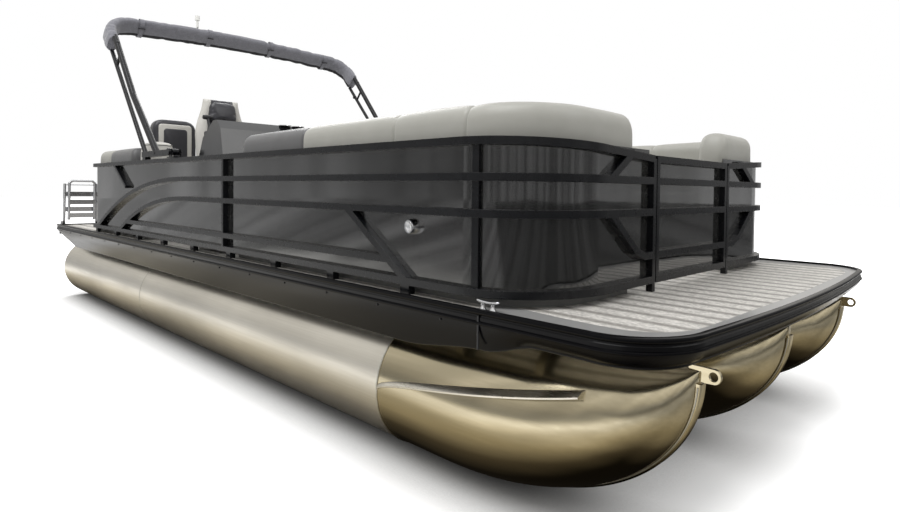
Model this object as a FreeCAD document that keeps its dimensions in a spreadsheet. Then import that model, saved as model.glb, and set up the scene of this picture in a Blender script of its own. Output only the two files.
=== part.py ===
import FreeCAD, Part
import math
import os

# Pontoon boat on three aluminium tubes, standing on the tubes as it parks.
# +X points to the bow, +Y to port, +Z up. The tubes' lowest lines lie at Z = 0 and the origin is
# under the middle of the whole length. Lengths along the boat are measured from the bow gate.

Vector = FreeCAD.Vector
Rotation = FreeCAD.Rotation
AXIS_X = Vector(1, 0, 0)
AXIS_Y = Vector(0, 1, 0)
AXIS_Z = Vector(0, 0, 1)
STARBOARD = -1
PORT = 1
SIDES = (STARBOARD, PORT)

# Driving sizes in millimetres, and angles in degrees
SIZES = {
    "gate_x": 3732,
    "beam_half": 1295,
    "running_fit": 0.3,
    "tube_radius": 317.5,
    "tube_inset": 373,
    "tube_rear": 6780,
    "tube_centre_rear": 6100,
    "nose_start": 620,
    "nose_tip": 525,
    "nose_rise": 610,
    "nose_edge": 14,
    "keel_width": 46,
    "keel_proud": 12,
    "keel_root": 30,
    "tow_eye_x": 571,
    "tow_eye_z": 622,
    "tow_eye_radius": 15,
    "tow_plate": 12,
    "tow_plate_radius": 27,
    "tow_root": 90,
    "strake_rear": 860,
    "strake_front": 110,
    "strake_rear_z": 340,
    "strake_front_z": 455,
    "strake_width": 42,
    "strake_height": 52,
    "strake_lip": 8,
    "strake_root": 70,
    "strake_front_inset": 128,
    "riser_width": 150,
    "riser_slope": 18,
    "riser_sink": 25,
    "riser_wall": 8,
    "riser_height": 48,
    "riser_front": 60,
    "riser_rear": 20,
    "beam_height": 76,
    "beam_width": 45,
    "beam_wall": 5,
    "beam_pitch": 462,
    "beam_first": 130,
    "beam_tip_gap": 52,
    "deck_thickness": 22,
    "deck_front": 626,
    "deck_rear": 6830,
    "deck_bow_radius": 250,
    "deck_bow_sag": 50,
    "skirt_wall": 25,
    "skirt_lip": 12,
    "skirt_depth": 215,
    "skirt_seam": 170,
    "skirt_skin": 12,
    "skirt_tuck": 46,
    "skirt_hem": 30,
    "skirt_slope_drop": 70,
    "skirt_slope_run": 620,
    "fascia_depth": 140,
    "fascia_tuck": 40,
    "ridge_proud": 6,
    "ridge_height": 10,
    "ridge_pitch": 44,
    "pod_half": 230,
    "pod_front_z": 90,
    "pod_rear_z": 330,
    "rail": 32,
    "fence_inset": 59,
    "fence_rear": 5780,
    "fence_top": 657,
    "fence_top_gate": 616,
    "rail_second": 517,
    "rail_third": 376,
    "rail_fourth": 182,
    "rail_side_low": 155,
    "rail_low_rear": 4560,
    "rail_low_front": 800,
    "fence_foot": 38,
    "bow_corner": 400,
    "bow_corner_front": 50,
    "stern_corner": 180,
    "panel_thickness": 5,
    "panel_gap": 0.3,
    "spacer_pitch": 600,
    "spacer_size": 60,
    "stud_inset": 2,
    "stud_width": 32,
    "stud_turn": 11,
    "gate_half": 398,
    "gate_post": 25,
    "gate_gap": 8,
    "mid_post": 2570,
    "arch_outer_foot": 5457,
    "arch_inner_foot": 4780,
    "arch_top": 3100,
    "strut_top": 4948,
    "strut_foot": 4590,
    "strut_width": 25,
    "brace_top": 1144,
    "brace_foot": 676,
    "side_gate_front": 2050,
    "side_gate_width": 720,
    "stern_gate_half": 330,
    "gate_sheet_margin": 12,
    "hinge_stand": 12,
    "hinge_barrel": 9,
    "hinge_pin": 4,
    "hinge_reach": 12,
    "hinge_height": 30,
    "hinge_low": 150,
    "hinge_high": 470,
    "lounge_depth": 640,
    "lounge_bow_depth": 620,
    "lounge_height": 330,
    "lounge_inset": 30,
    "lounge_starboard_rear": 2480,
    "lounge_port_rear": 1960,
    "doorway_half": 470,
    "cushion_thickness": 120,
    "cushion_overhang": 20,
    "cushion_edge": 26,
    "back_thickness": 170,
    "back_height": 460,
    "back_edge": 40,
    "lounge_turn": 160,
    "soft_gap": 0.4,
    "toe_kick": 60,
    "toe_kick_height": 80,
    "aft_lounge_front": 4620,
    "aft_lounge_gap": 120,
    "chaise_thickness": 130,
    "chaise_height": 1040,
    "chaise_width": 350,
    "chaise_gap": 120,
    "bolster_depth": 210,
    "bolster_length": 285,
    "bolster_height": 490,
    "console_front": 2700,
    "console_length": 600,
    "console_width": 640,
    "console_inset": 145,
    "console_height": 905,
    "dash_drop": 110,
    "dash_reach": 180,
    "dash_lip": 60,
    "console_knee": 420,
    "console_foot": 110,
    "wheel_radius": 170,
    "wheel_rim": 14,
    "wheel_tilt": 62,
    "wheel_drop": 220,
    "wheel_stand": 95,
    "wheel_hub": 32,
    "wheel_spoke": 9,
    "column_radius": 24,
    "chair_x": 3820,
    "chair_y": 650,
    "chair_pedestal": 330,
    "chair_post": 36,
    "chair_foot": 150,
    "chair_foot_thickness": 14,
    "chair_plate": 30,
    "chair_seat_half": 180,
    "chair_seat_front": 245,
    "chair_seat_rear": 145,
    "chair_seat_height": 140,
    "chair_back_half": 215,
    "chair_head_half": 120,
    "chair_back_height": 875,
    "chair_back_thick": 100,
    "chair_back_lean": 80,
    "chair_arm_width": 60,
    "chair_arm_height": 250,
    "chair_arm_pad": 45,
    "tower_pivot_aft": 3450,
    "tower_pivot_height": 700,
    "tower_pin": 8,
    "tower_ear": 8,
    "tower_knob": 26,
    "tower_arm": 690,
    "tower_arm_height": 44,
    "tower_arm_width": 40,
    "tower_leg": 48,
    "tower_leg_rear": 34,
    "tower_front_foot": 383,
    "tower_rear_foot": 645,
    "boot_aft": 1757,
    "boot_rise": 1259,
    "boot_lean": 44,
    "boot_drop": 330,
    "boot_corner": 220,
    "boot_crown": 60,
    "boot_depth": 95,
    "boot_width": 190,
    "boot_inset": 55,
    "light_post": 90,
    "anchor_light_y": 440,
    "anchor_light_radius": 22,
    "ladder_inset": 80,
    "ladder_width": 300,
    "ladder_tube": 25,
    "ladder_length": 430,
    "ladder_stand": 62,
    "ladder_rise": 20,
    "ladder_step": 50,
    "ladder_pin": 5,
    "ladder_offset": 45,
    "ladder_ear": 8,
    "ladder_lean": 6,
    "transom_aft": 6960,
    "transom_top": 775,
    "motor_tilt": 62,
    "motor_pivot_aft": 7035,
    "motor_pivot_z": 835,
    "motor_steer_back": 105,
    "motor_pin": 14,
    "motor_shaft": 22,
    "clamp_half": 95,
    "clamp_cheek": 23,
    "clamp_low": 440,
    "cowl_height": 460,
    "cowl_half": 180,
    "cowl_wall": 12,
    "leg_half": 52,
    "gear_drop": 890,
    "gear_radius": 52,
    "plate_drop": 685,
    "prop_radius": 180,
    "prop_hub": 48,
    "cleat_length": 120,
    "cleat_height": 34,
    "cleat_bow": 172,
    "cleat_stern": 120,
    "cleat_edge": 30,
    "light_x": 656,
    "light_drop": 70,
    "light_radius": 34,
    "light_stand": 6,
}

document = FreeCAD.newDocument("pontoon_boat")
sheet = document.addObject("Spreadsheet::Sheet", "Sizes")
for row, (alias, value) in enumerate(SIZES.items(), start=1):
    sheet.set(f"A{row}", alias)
    sheet.set(f"B{row}", str(value))
    sheet.setAlias(f"B{row}", alias)
document.recompute()


def size(alias):
    """Gives a driving size from the sheet."""
    return float(sheet.get(alias))


nodes = []

# Places that follow from the driving sizes
GATE = size("gate_x")
RADIUS = size("tube_radius")
TUBE_TOP = 2 * RADIUS
BEAM_LOW = TUBE_TOP + size("riser_height")
DECK_LOW = BEAM_LOW + size("beam_height")
DECK = DECK_LOW + size("deck_thickness")
STERN = GATE - size("deck_rear")
SKIRT_TOP = DECK + size("skirt_lip")
DECK_HALF = size("beam_half") - size("skirt_wall")
TUBE_Y = size("beam_half") - size("tube_inset")
RAIL = size("rail")
FENCE = size("beam_half") - size("fence_inset") - RAIL / 2
FENCE_REAR = GATE - size("fence_rear") + RAIL / 2
FIT = size("running_fit")


def register(feature, label):
    """Names a finished sub-part and keeps it for writing out."""
    feature.Label = label
    nodes.append(feature)
    return feature


def shaped(label, shape):
    """Adds a sub-part whose shape comes from Part's own functions."""
    feature = document.addObject("Part::Feature", label)
    feature.Shape = shape
    return register(feature, label)


def polygon(points):
    """Closed face through points."""
    return Part.Face(Part.makePolygon(list(points) + [points[0]]))


def mirrored(shape):
    """The same shape on the other side of the boat's middle plane."""
    return shape.mirror(Vector(), AXIS_Y)


def on_side(shape, side):
    """Takes a shape drawn for port to the wanted side."""
    return shape if side == PORT else mirrored(shape)


def box(x_low, x_high, y_low, y_high, z_low, z_high):
    """Box between two corners."""
    return Part.makeBox(x_high - x_low, y_high - y_low, z_high - z_low, Vector(x_low, y_low, z_low))


def plate_xz(points, y_low, y_high):
    """Plate with an outline in the XZ plane, between two Y planes."""
    face = polygon([Vector(x, y_low, z) for x, z in points])
    return face.extrude(Vector(0, y_high - y_low, 0))


def placed(shape, place, angle):
    """Copy turned about Z and moved."""
    copy = shape.copy()
    copy.rotate(Vector(), AXIS_Z, angle)
    copy.translate(place)
    return copy


def rod(start, end, radius):
    """Round bar between two points."""
    run = end - start
    return Part.makeCylinder(radius, run.Length, start, run)


def fused(shapes):
    """One solid from shapes that meet, with its seams cleaned."""
    return shapes[0].multiFuse(shapes[1:]).removeSplitter()


def pipe(wire, profile, upright=None):
    """Sweeps a closed profile wire along a path, its section kept upright where asked."""
    shell = Part.BRepOffsetAPI.MakePipeShell(wire)
    if upright is None:
        shell.setFrenetMode(True)
    else:
        shell.setBiNormalMode(upright)
    shell.setTransitionMode(1)
    shell.add(profile)
    shell.build()
    shell.makeSolid()
    return shell.shape()


def bent_rod(corners, radius, upright):
    """Round bar through several points of a plane, mitred at its bends."""
    ring = Part.Wire(Part.Circle(corners[0], corners[1] - corners[0], radius).toShape())
    return pipe(Part.makePolygon(corners), ring, upright)


def square(centre, along, upright, width, height):
    """Rectangle wire across a direction, for a rail's section."""
    side = upright.cross(along).normalize() * (width / 2)
    rise = upright * (height / 2)
    corners = [centre - side - rise, centre + side - rise, centre + side + rise, centre - side + rise]
    return Part.makePolygon(corners + corners[:1])


def base_plane(body, role):
    """Finds one of a body's own origin planes."""
    return next(item for item in body.Origin.OriginFeatures if item.Role == role)


def new_sketch(body, name, role, offset=0.0):
    """Sketch on one of the body's own origin planes, moved along the plane's normal."""
    sketch = body.newObject("Sketcher::SketchObject", name)
    sketch.AttachmentSupport = (base_plane(body, role), [""])
    sketch.MapMode = "FlatFace"
    sketch.AttachmentOffset = FreeCAD.Placement(Vector(0, 0, offset), Rotation())
    return sketch


def draw_lines(sketch, points):
    """Draws a closed outline of straight lines."""
    for start, end in zip(points, points[1:] + points[:1]):
        sketch.addGeometry(Part.LineSegment(Vector(*start, 0), Vector(*end, 0)), False)


def pad(body, name, sketch, length_of, middle=False):
    """Pads a sketch by a length that is an expression on the sheet."""
    feature = body.newObject("PartDesign::Pad", name)
    feature.Profile = sketch
    feature.setExpression("Length", length_of)
    feature.Midplane = middle
    return feature


# Tubes with lofted nosecones and welded keels
NOSE_SECTIONS = 9
NOSE_POWER = 2.4
NOSE_FULLNESS = 0.62
NOSE_SIDES = 36


def nose_station(step):
    """X, half width and keel height of the nosecone at a share of its length."""
    length = size("nose_start") + size("nose_tip")
    x = GATE - size("nose_start") + step * length
    left = max(0.0, 1 - step ** NOSE_POWER)
    half_width = max(size("nose_edge"), RADIUS * left ** NOSE_FULLNESS)
    keel_z = size("nose_rise") * (1 - math.sqrt(left))
    return x, half_width, keel_z


def keel_band(y):
    """Welded band round the nosecone's keel line, as a curved bar."""
    outer, inner = [], []
    stations = [nose_station(step) for step in (0.36, 0.50, 0.63, 0.75, 0.85, 0.93, 0.97, 0.99)]
    for index, (x, _, z) in enumerate(stations):
        before = stations[max(index - 1, 0)]
        after = stations[min(index + 1, len(stations) - 1)]
        along = Vector(after[0] - before[0], 0, after[2] - before[2]).normalize()
        outward = Vector(along.z, 0, -along.x)
        outer.append(Vector(x, 0, z) + outward * size("keel_proud"))
        inner.append(Vector(x, 0, z) - outward * size("keel_root"))
    edges = []
    for points in (outer, inner[::-1]):
        curve = Part.BSplineCurve()
        curve.interpolate(points)
        edges.append(curve.toShape())
    edges.insert(1, Part.makeLine(outer[-1], inner[-1]))
    edges.append(Part.makeLine(inner[0], outer[0]))
    band = Part.Face(Part.Wire(edges)).extrude(Vector(0, size("keel_width"), 0))
    band.translate(Vector(0, y - size("keel_width") / 2, 0))
    return band


def draw_oval(sketch, centre, half_width, rise):
    """Closed ellipse or circle whose axes lie level and upright."""
    if abs(half_width - rise) < 0.01:
        curve = Part.Circle(centre, AXIS_Z, rise)
    elif half_width > rise:
        curve = Part.Ellipse(centre + Vector(half_width, 0, 0), centre + Vector(0, rise, 0), centre)
    else:
        curve = Part.Ellipse(centre + Vector(0, rise, 0), centre + Vector(-half_width, 0, 0), centre)
    sketch.addGeometry(curve, False)


def nose_facing(sketch_x, y, half_width, keel_z):
    """Many-sided closed section of the nosecone, its corners at even angles from the keel line."""
    rise = (TUBE_TOP - keel_z) / 2
    corners = []
    for index in range(NOSE_SIDES):
        angle = 2 * math.pi * index / NOSE_SIDES
        corners.append(Vector(sketch_x, y + half_width * math.sin(angle), TUBE_TOP - rise - rise * math.cos(angle)))
    return Part.makePolygon(corners + corners[:1])


def tow_eye(y):
    """Plate with a round eye, welded on top of the nose's keel."""
    x = GATE + size("tow_eye_x")
    z = size("tow_eye_z")
    plate = size("tow_plate")
    radius = size("tow_plate_radius")
    round_end = Part.makeCylinder(radius, plate, Vector(x, y - plate / 2, z), AXIS_Y)
    root = box(x - size("tow_root"), x, y - plate / 2, y + plate / 2, z - radius, z + radius)
    eye = Part.makeCylinder(size("tow_eye_radius"), plate, Vector(x, y - plate / 2, z), AXIS_Y)
    return round_end.fuse(root).cut(eye)


def make_pontoon(label, y, rear_of, with_eye):
    """Tube, lofted nosecone, welded keel and tow eye of one pontoon."""
    body = document.addObject("PartDesign::Body", label + "_tube")
    ring = new_sketch(body, label + "_ring", "YZ_Plane", GATE - size(rear_of))
    draw_oval(ring, Vector(y, RADIUS, 0), RADIUS, RADIUS)
    body.Tip = pad(body, label + "_length", ring, f"Sizes.{rear_of} - Sizes.nose_start")
    sections = []
    for index in range(NOSE_SECTIONS + 1):
        x, half_width, keel_z = nose_station(math.sin(math.pi / 2 * index / NOSE_SECTIONS))
        sections.append(nose_facing(x, y, half_width, keel_z))
    welded = [Part.makeLoft(sections, True, True), keel_band(y)]
    if with_eye:
        welded.append(tow_eye(y))
    nose = document.addObject("Part::Feature", label + "_nose")
    nose.Shape = fused(welded)
    whole = document.addObject("Part::Fuse", label)
    whole.Base = body
    whole.Tool = nose
    document.recompute()
    return register(whole, label)


pontoons = {
    "starboard": make_pontoon("pontoon_starboard", -TUBE_Y, "tube_rear", True),
    "port": make_pontoon("pontoon_port", TUBE_Y, "tube_rear", True),
    "centre": make_pontoon("pontoon_centre", 0.0, "tube_centre_rear", False),
}
TUBE_PLACES = (
    (pontoons["starboard"], -TUBE_Y, size("tube_rear")),
    (pontoons["port"], TUBE_Y, size("tube_rear")),
    (pontoons["centre"], 0.0, size("tube_centre_rear")),
)


def largest(shape):
    """The biggest solid of a cut."""
    return max(shape.Solids, key=lambda solid: solid.Volume)


def strake(pontoon, y, outward):
    """Lifting strake on one flank of a nosecone, growing from nothing to a squared front end."""
    sections = []
    places = (
        (GATE - size("strake_rear"), size("strake_rear_z"), RADIUS, 0.35),
        (GATE + size("strake_front"), size("strake_front_z"), RADIUS - size("strake_front_inset"), 1.0),
    )
    for x, z, spread, share in places:
        root = y + outward * (spread - size("strake_root"))
        tip = y + outward * (spread + size("strake_width") * share)
        outline = [(root, z), (tip, z), (tip, z + size("strake_lip")), (root, z + size("strake_height") * (1 + share))]
        corners = [Vector(x, across, height) for across, height in outline]
        sections.append(Part.makePolygon(corners + corners[:1]))
    return largest(Part.makeLoft(sections, True, True).cut(pontoon.Shape))


shaped("lifting_strakes", Part.makeCompound([
    strake(item, y, outward) for item, y, _ in TUBE_PLACES for outward in SIDES
]))


# Underdeck structure
def riser(pontoon, y, rear):
    """Long channel welded on a tube's top, which carries the cross beams."""
    wall = size("riser_wall")
    slope = size("riser_slope")
    low = TUBE_TOP - size("riser_sink")
    length = rear - size("riser_front")
    channel = []
    for inset, high in ((0, BEAM_LOW), (wall, BEAM_LOW - wall)):
        half = size("riser_width") / 2 - inset
        outline = [(y - half, low), (y + half, low), (y + half - slope, high), (y - half + slope, high)]
        face = polygon([Vector(GATE - rear, across, z) for across, z in outline])
        channel.append(face.extrude(Vector(length, 0, 0)))
    return largest(channel[0].cut(channel[1]).cut(pontoon.Shape))


shaped("riser_rails", Part.makeCompound([riser(item, y, rear - size("riser_rear")) for item, y, rear in TUBE_PLACES]))


def cross_beam(x):
    """Channel beam across the boat."""
    half = DECK_HALF - size("beam_tip_gap")
    wall = size("beam_wall")
    outer = box(x, x + size("beam_width"), -half, half, BEAM_LOW, DECK_LOW)
    hollow = box(x + wall, x + size("beam_width"), -half, half, BEAM_LOW + wall, DECK_LOW - wall)
    return outer.cut(hollow)


beam_count = int((size("deck_rear") - size("beam_first") - size("beam_width")) // size("beam_pitch")) + 1
shaped("cross_beams", Part.makeCompound([
    cross_beam(GATE - size("beam_first") - index * size("beam_pitch")) for index in range(beam_count)
]))


def bow_outline(grow, x_rear, z):
    """Deck outline with rounded bow corners and a slightly bowed front, grown outward by a margin."""
    half = DECK_HALF + grow
    front = GATE + size("deck_front") + grow
    radius = size("deck_bow_radius") + grow
    sag = size("deck_bow_sag")
    bend = radius * math.sqrt(0.5)
    centre_x = front - sag - radius
    edges = []
    side_end = {side: Vector(centre_x, side * half, z) for side in SIDES}
    corner = {side: Vector(centre_x + bend, side * (half - radius + bend), z) for side in SIDES}
    nose_end = {side: Vector(front - sag, side * (half - radius), z) for side in SIDES}
    rear = {side: Vector(x_rear, side * half, z) for side in SIDES}
    edges.append(Part.makeLine(rear[STARBOARD], side_end[STARBOARD]))
    edges.append(Part.Arc(side_end[STARBOARD], corner[STARBOARD], nose_end[STARBOARD]).toShape())
    edges.append(Part.Arc(nose_end[STARBOARD], Vector(front, 0, z), nose_end[PORT]).toShape())
    edges.append(Part.Arc(nose_end[PORT], corner[PORT], side_end[PORT]).toShape())
    edges.append(Part.makeLine(side_end[PORT], rear[PORT]))
    edges.append(Part.makeLine(rear[PORT], rear[STARBOARD]))
    return Part.Wire(edges)


def add_deck():
    """Deck panel padded from its outline."""
    body = document.addObject("PartDesign::Body", "deck")
    sketch = new_sketch(body, "deck_outline", "XY_Plane", DECK_LOW)
    for edge in bow_outline(0.0, STERN, 0.0).Edges:
        if edge.Curve.TypeId == "Part::GeomLine":
            sketch.addGeometry(Part.LineSegment(edge.Vertexes[0].Point, edge.Vertexes[1].Point), False)
        else:
            middle = edge.valueAt((edge.FirstParameter + edge.LastParameter) / 2)
            sketch.addGeometry(Part.Arc(edge.Vertexes[0].Point, middle, edge.Vertexes[1].Point), False)
    body.Tip = pad(body, "deck_panel", sketch, "Sizes.deck_thickness")
    document.recompute()
    register(body, "deck")


add_deck()


def ring_band(grow_out, grow_in, z_low, z_high, x_rear):
    """Band round the bow between two grown outlines."""
    outer = Part.Face(bow_outline(grow_out, x_rear, z_low)).extrude(Vector(0, 0, z_high - z_low))
    inner = Part.Face(bow_outline(grow_in, x_rear - 1, z_low)).extrude(Vector(0, 0, z_high - z_low))
    return outer.cut(inner)


def add_bow_fascia():
    """Curved bow trim with two raised ridges and a lower edge that tucks in."""
    x_rear = GATE - size("skirt_seam")
    flat = size("skirt_wall") - size("ridge_proud")
    knee = SKIRT_TOP - size("fascia_depth") / 2
    low = SKIRT_TOP - size("fascia_depth")
    pieces = [ring_band(flat, 0.0, knee, SKIRT_TOP, x_rear)]
    for level in (0, 1):
        z_high = SKIRT_TOP - level * size("ridge_pitch")
        pieces.append(ring_band(size("skirt_wall"), flat, z_high - size("ridge_height"), z_high, x_rear))
    tucked = []
    for grow, back in ((flat, 0), (0.0, 1)):
        wires = [bow_outline(grow, x_rear - back, knee), bow_outline(grow - size("fascia_tuck"), x_rear - back, low)]
        tucked.append(Part.makeLoft(wires, True, True))
    pieces.append(tucked[0].cut(tucked[1]))
    shaped("bow_fascia", fused(pieces))


add_bow_fascia()


def skirt(side):
    """Side trim extrusion with two ridges and a skin that leans in below them, its stern end cut on a slope."""
    half = size("beam_half")
    face = half - size("ridge_proud")
    top = SKIRT_TOP
    ridge = size("ridge_height")
    second = top - size("ridge_pitch")
    low = top - size("skirt_depth")
    skin = size("skirt_skin")
    hem = face - size("skirt_tuck")
    outline = [
        (DECK_HALF, top), (half, top), (half, top - ridge), (face, top - ridge), (face, second), (half, second),
        (half, second - ridge), (face, second - ridge), (hem, low + skin), (hem - skin, low),
        (hem - size("skirt_hem"), low), (hem - size("skirt_hem"), low + skin / 2), (hem - skin, low + 1.5 * skin),
        (face - skin, second - ridge), (DECK_HALF, second),
    ]
    x_low = STERN - size("skirt_wall")
    x_high = GATE - size("skirt_seam")
    bar = polygon([Vector(x_low, y, z) for y, z in outline]).extrude(Vector(x_high - x_low, 0, 0))
    slope_top = top - size("skirt_slope_drop")
    past = size("skirt_wall")
    slope = plate_xz([(x_low - past, slope_top), (x_low, slope_top), (x_low + size("skirt_slope_run"), low - past),
                      (x_low - past, low - past)], hem - size("skirt_depth"), half + past)
    return on_side(largest(bar.cut(slope)), side)


shaped("skirt_starboard", skirt(STARBOARD))
shaped("skirt_port", skirt(PORT))
shaped("stern_trim", box(STERN - size("skirt_wall"), STERN, FIT - DECK_HALF, DECK_HALF - FIT, BEAM_LOW, SKIRT_TOP))


def add_transom_pod():
    """Box hull behind the middle tube, whose rear face carries the motor."""
    front = GATE - size("tube_centre_rear")
    rear = GATE - size("transom_aft")
    behind_trim = STERN - size("skirt_wall")
    outline = [
        (front, size("pod_front_z")), (behind_trim, size("pod_rear_z") / 2), (rear, size("pod_rear_z")),
        (rear, size("transom_top")), (behind_trim, size("transom_top")), (behind_trim, BEAM_LOW), (front, BEAM_LOW),
    ]
    shaped("transom_pod", plate_xz(outline, -size("pod_half"), size("pod_half")))


add_transom_pod()


# Fence path round the boat
def fence_run(side, z, x_from=None, x_to=None):
    """Centre line of a straight side rail."""
    return Part.Wire([Part.makeLine(Vector(x_from, side * FENCE, z), Vector(x_to, side * FENCE, z))])


BOW_CORNER = size("bow_corner")
CORNER_X = GATE + size("bow_corner_front") - BOW_CORNER
FRONT_Y = FENCE - BOW_CORNER
GATE_SIDE = size("gate_half") + size("gate_post") / 2
BOW_STEPS = 8
BOW_SLANT = 0.02


def fence_wire(side, z, inset=0.0, with_bow=True):
    """Fence centre line from the stern stretch round the stern corner, along the side and round the bow."""
    reach = FENCE - inset
    turn = size("stern_corner") - inset
    rear = FENCE_REAR + inset
    points = {
        "stern": Vector(rear, side * (size("stern_gate_half") + size("gate_post")), z),
        "turn_in": Vector(rear, side * (reach - turn), z),
        "turn_mid": Vector(rear + turn * (1 - math.sqrt(0.5)), side * (reach - turn * (1 - math.sqrt(0.5))), z),
        "turn_out": Vector(rear + turn, side * reach, z),
        "bow_in": Vector(CORNER_X, side * reach, z),
    }
    edges = [
        Part.makeLine(points["stern"], points["turn_in"]),
        Part.Arc(points["turn_in"], points["turn_mid"], points["turn_out"]).toShape(),
        Part.makeLine(points["turn_out"], points["bow_in"]),
    ]
    if with_bow:
        edges += bow_edges(side, z, inset)
    return Part.Wire(edges)


def bow_edges(side, z, inset=0.0):
    """Level rail's bow corner and the short stretch to the gate post."""
    reach = FENCE - inset
    corner = BOW_CORNER - inset
    bend = corner * math.sqrt(0.5)
    start = Vector(CORNER_X, side * reach, z)
    middle = Vector(CORNER_X + bend, side * (reach - corner + bend), z)
    end = Vector(CORNER_X + corner, side * (reach - corner), z)
    post = Vector(end.x - BOW_SLANT * (FRONT_Y - GATE_SIDE), side * GATE_SIDE, z)
    return [Part.Arc(start, middle, end).toShape(), Part.makeLine(end, post)]


def falling_rail(side, z, z_gate):
    """Top rail's bow corner and short stretch, which fall smoothly to the gate post's height."""
    straight = FRONT_Y - GATE_SIDE
    slope = (z - z_gate) / (BOW_CORNER * math.pi / 4 + straight)
    sections = []
    for index in range(BOW_STEPS + 1):
        share = index / BOW_STEPS
        angle = share * math.pi / 2
        height = z - slope * BOW_CORNER * math.pi / 4 * share ** 2
        centre = Vector(CORNER_X + BOW_CORNER * math.sin(angle),
                        side * (FENCE - BOW_CORNER + BOW_CORNER * math.cos(angle)), height)
        along = Vector(math.cos(angle), -side * math.sin(angle), 0)
        sections.append(square(centre, along, AXIS_Z, RAIL, RAIL))
    along = Vector(0, -side, 0)
    post = Vector(CORNER_X + BOW_CORNER - BOW_SLANT * straight, side * GATE_SIDE, z_gate)
    turn = Part.makeLoft(sections, True, False)
    stretch = Part.makeLoft([sections[-1], square(post, along, AXIS_Z, RAIL, RAIL)], True, True)
    return [turn, stretch]


def rail_solid(wire, width=None, height=None):
    """Rectangular rail along a wire."""
    width = RAIL if width is None else width
    height = RAIL if height is None else height
    edge = wire.OrderedEdges[0]
    start = edge.valueAt(edge.FirstParameter)
    end = edge.valueAt(edge.LastParameter)
    first = wire.OrderedVertexes[0].Point
    along = edge.tangentAt(edge.FirstParameter)
    if (start - first).Length > (end - first).Length:
        along = edge.tangentAt(edge.LastParameter) * -1
    profile = square(first, along, AXIS_Z, width, height)
    return pipe(wire, profile, AXIS_Z)


def centre_z(above_deck):
    """Middle height of a rail whose upper edge is a given height above the deck."""
    return DECK + above_deck - RAIL / 2


FOOT_RAIL_Z = DECK + size("fence_foot") + RAIL / 2
TOP_Z = centre_z(size("fence_top"))
SECOND_Z = centre_z(size("rail_second"))
THIRD_Z = centre_z(size("rail_third"))
FOURTH_Z = centre_z(size("rail_fourth"))
LOW_Z = centre_z(size("rail_side_low"))


def post(x, y, z_high, width=None, turned=False):
    """Upright post from the foot rail's underside to a height."""
    width = size("gate_post") if width is None else width
    half_x, half_y = (RAIL / 2, width / 2) if turned else (width / 2, RAIL / 2)
    return box(x - half_x, x + half_x, y - half_y, y + half_y, DECK + size("fence_foot"), z_high)


def arch(side, foot, rail_z):
    """Rail that rises from the foot rail in an arch and runs level into a side rail."""
    x_foot = GATE - foot
    x_top = GATE - size("arch_top")
    rise = rail_z - FOOT_RAIL_Z
    run = x_top - x_foot
    shares = ((0.0, 0.0), (0.2, 0.42), (0.45, 0.77), (0.72, 0.96), (1.0, 1.0))
    curve = Part.BSplineCurve()
    curve.interpolate([Vector(x_foot + run * along, side * FENCE, FOOT_RAIL_Z + rise * up) for along, up in shares],
                      FinalTangent=AXIS_X)
    wire = Part.Wire([curve.toShape()])
    first = curve.value(curve.FirstParameter)
    along = curve.tangent(curve.FirstParameter)[0]
    profile = square(first, along, AXIS_Y, RAIL, RAIL)
    return pipe(wire, profile, AXIS_Y)


def brace(start, end, size_of=None):
    """Straight rectangular brace between two points of one upright plane."""
    width = RAIL if size_of is None else size_of
    along = end - start
    level = AXIS_Z.cross(along)
    level = AXIS_Y if level.Length < 1 else level.normalize()
    profile = square(start, along.normalize(), level, width, RAIL)
    return pipe(Part.Wire([Part.makeLine(start, end)]), profile, level)


def bow_point(side, share, z):
    """Point on the bow stretch between corner and gate post."""
    y = FRONT_Y + (GATE_SIDE - FRONT_Y) * share
    x = CORNER_X + BOW_CORNER - BOW_SLANT * (FRONT_Y - y)
    return Vector(x, side * y, z)


def bow_braces(side):
    """Short braces on the bow stretch beside the gate."""
    upper = brace(bow_point(side, 0.55, TOP_Z - 20), bow_point(side, 0.10, SECOND_Z))
    knee = bow_point(side, 0.62, FOURTH_Z + 30)
    lower = brace(bow_point(side, 0.12, THIRD_Z), knee)
    foot = brace(knee, bow_point(side, 0.80, FOURTH_Z))
    level = brace(bow_point(side, 0.78, FOURTH_Z), bow_point(side, 1.0, FOURTH_Z))
    return [upper, lower, foot, level]


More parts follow.
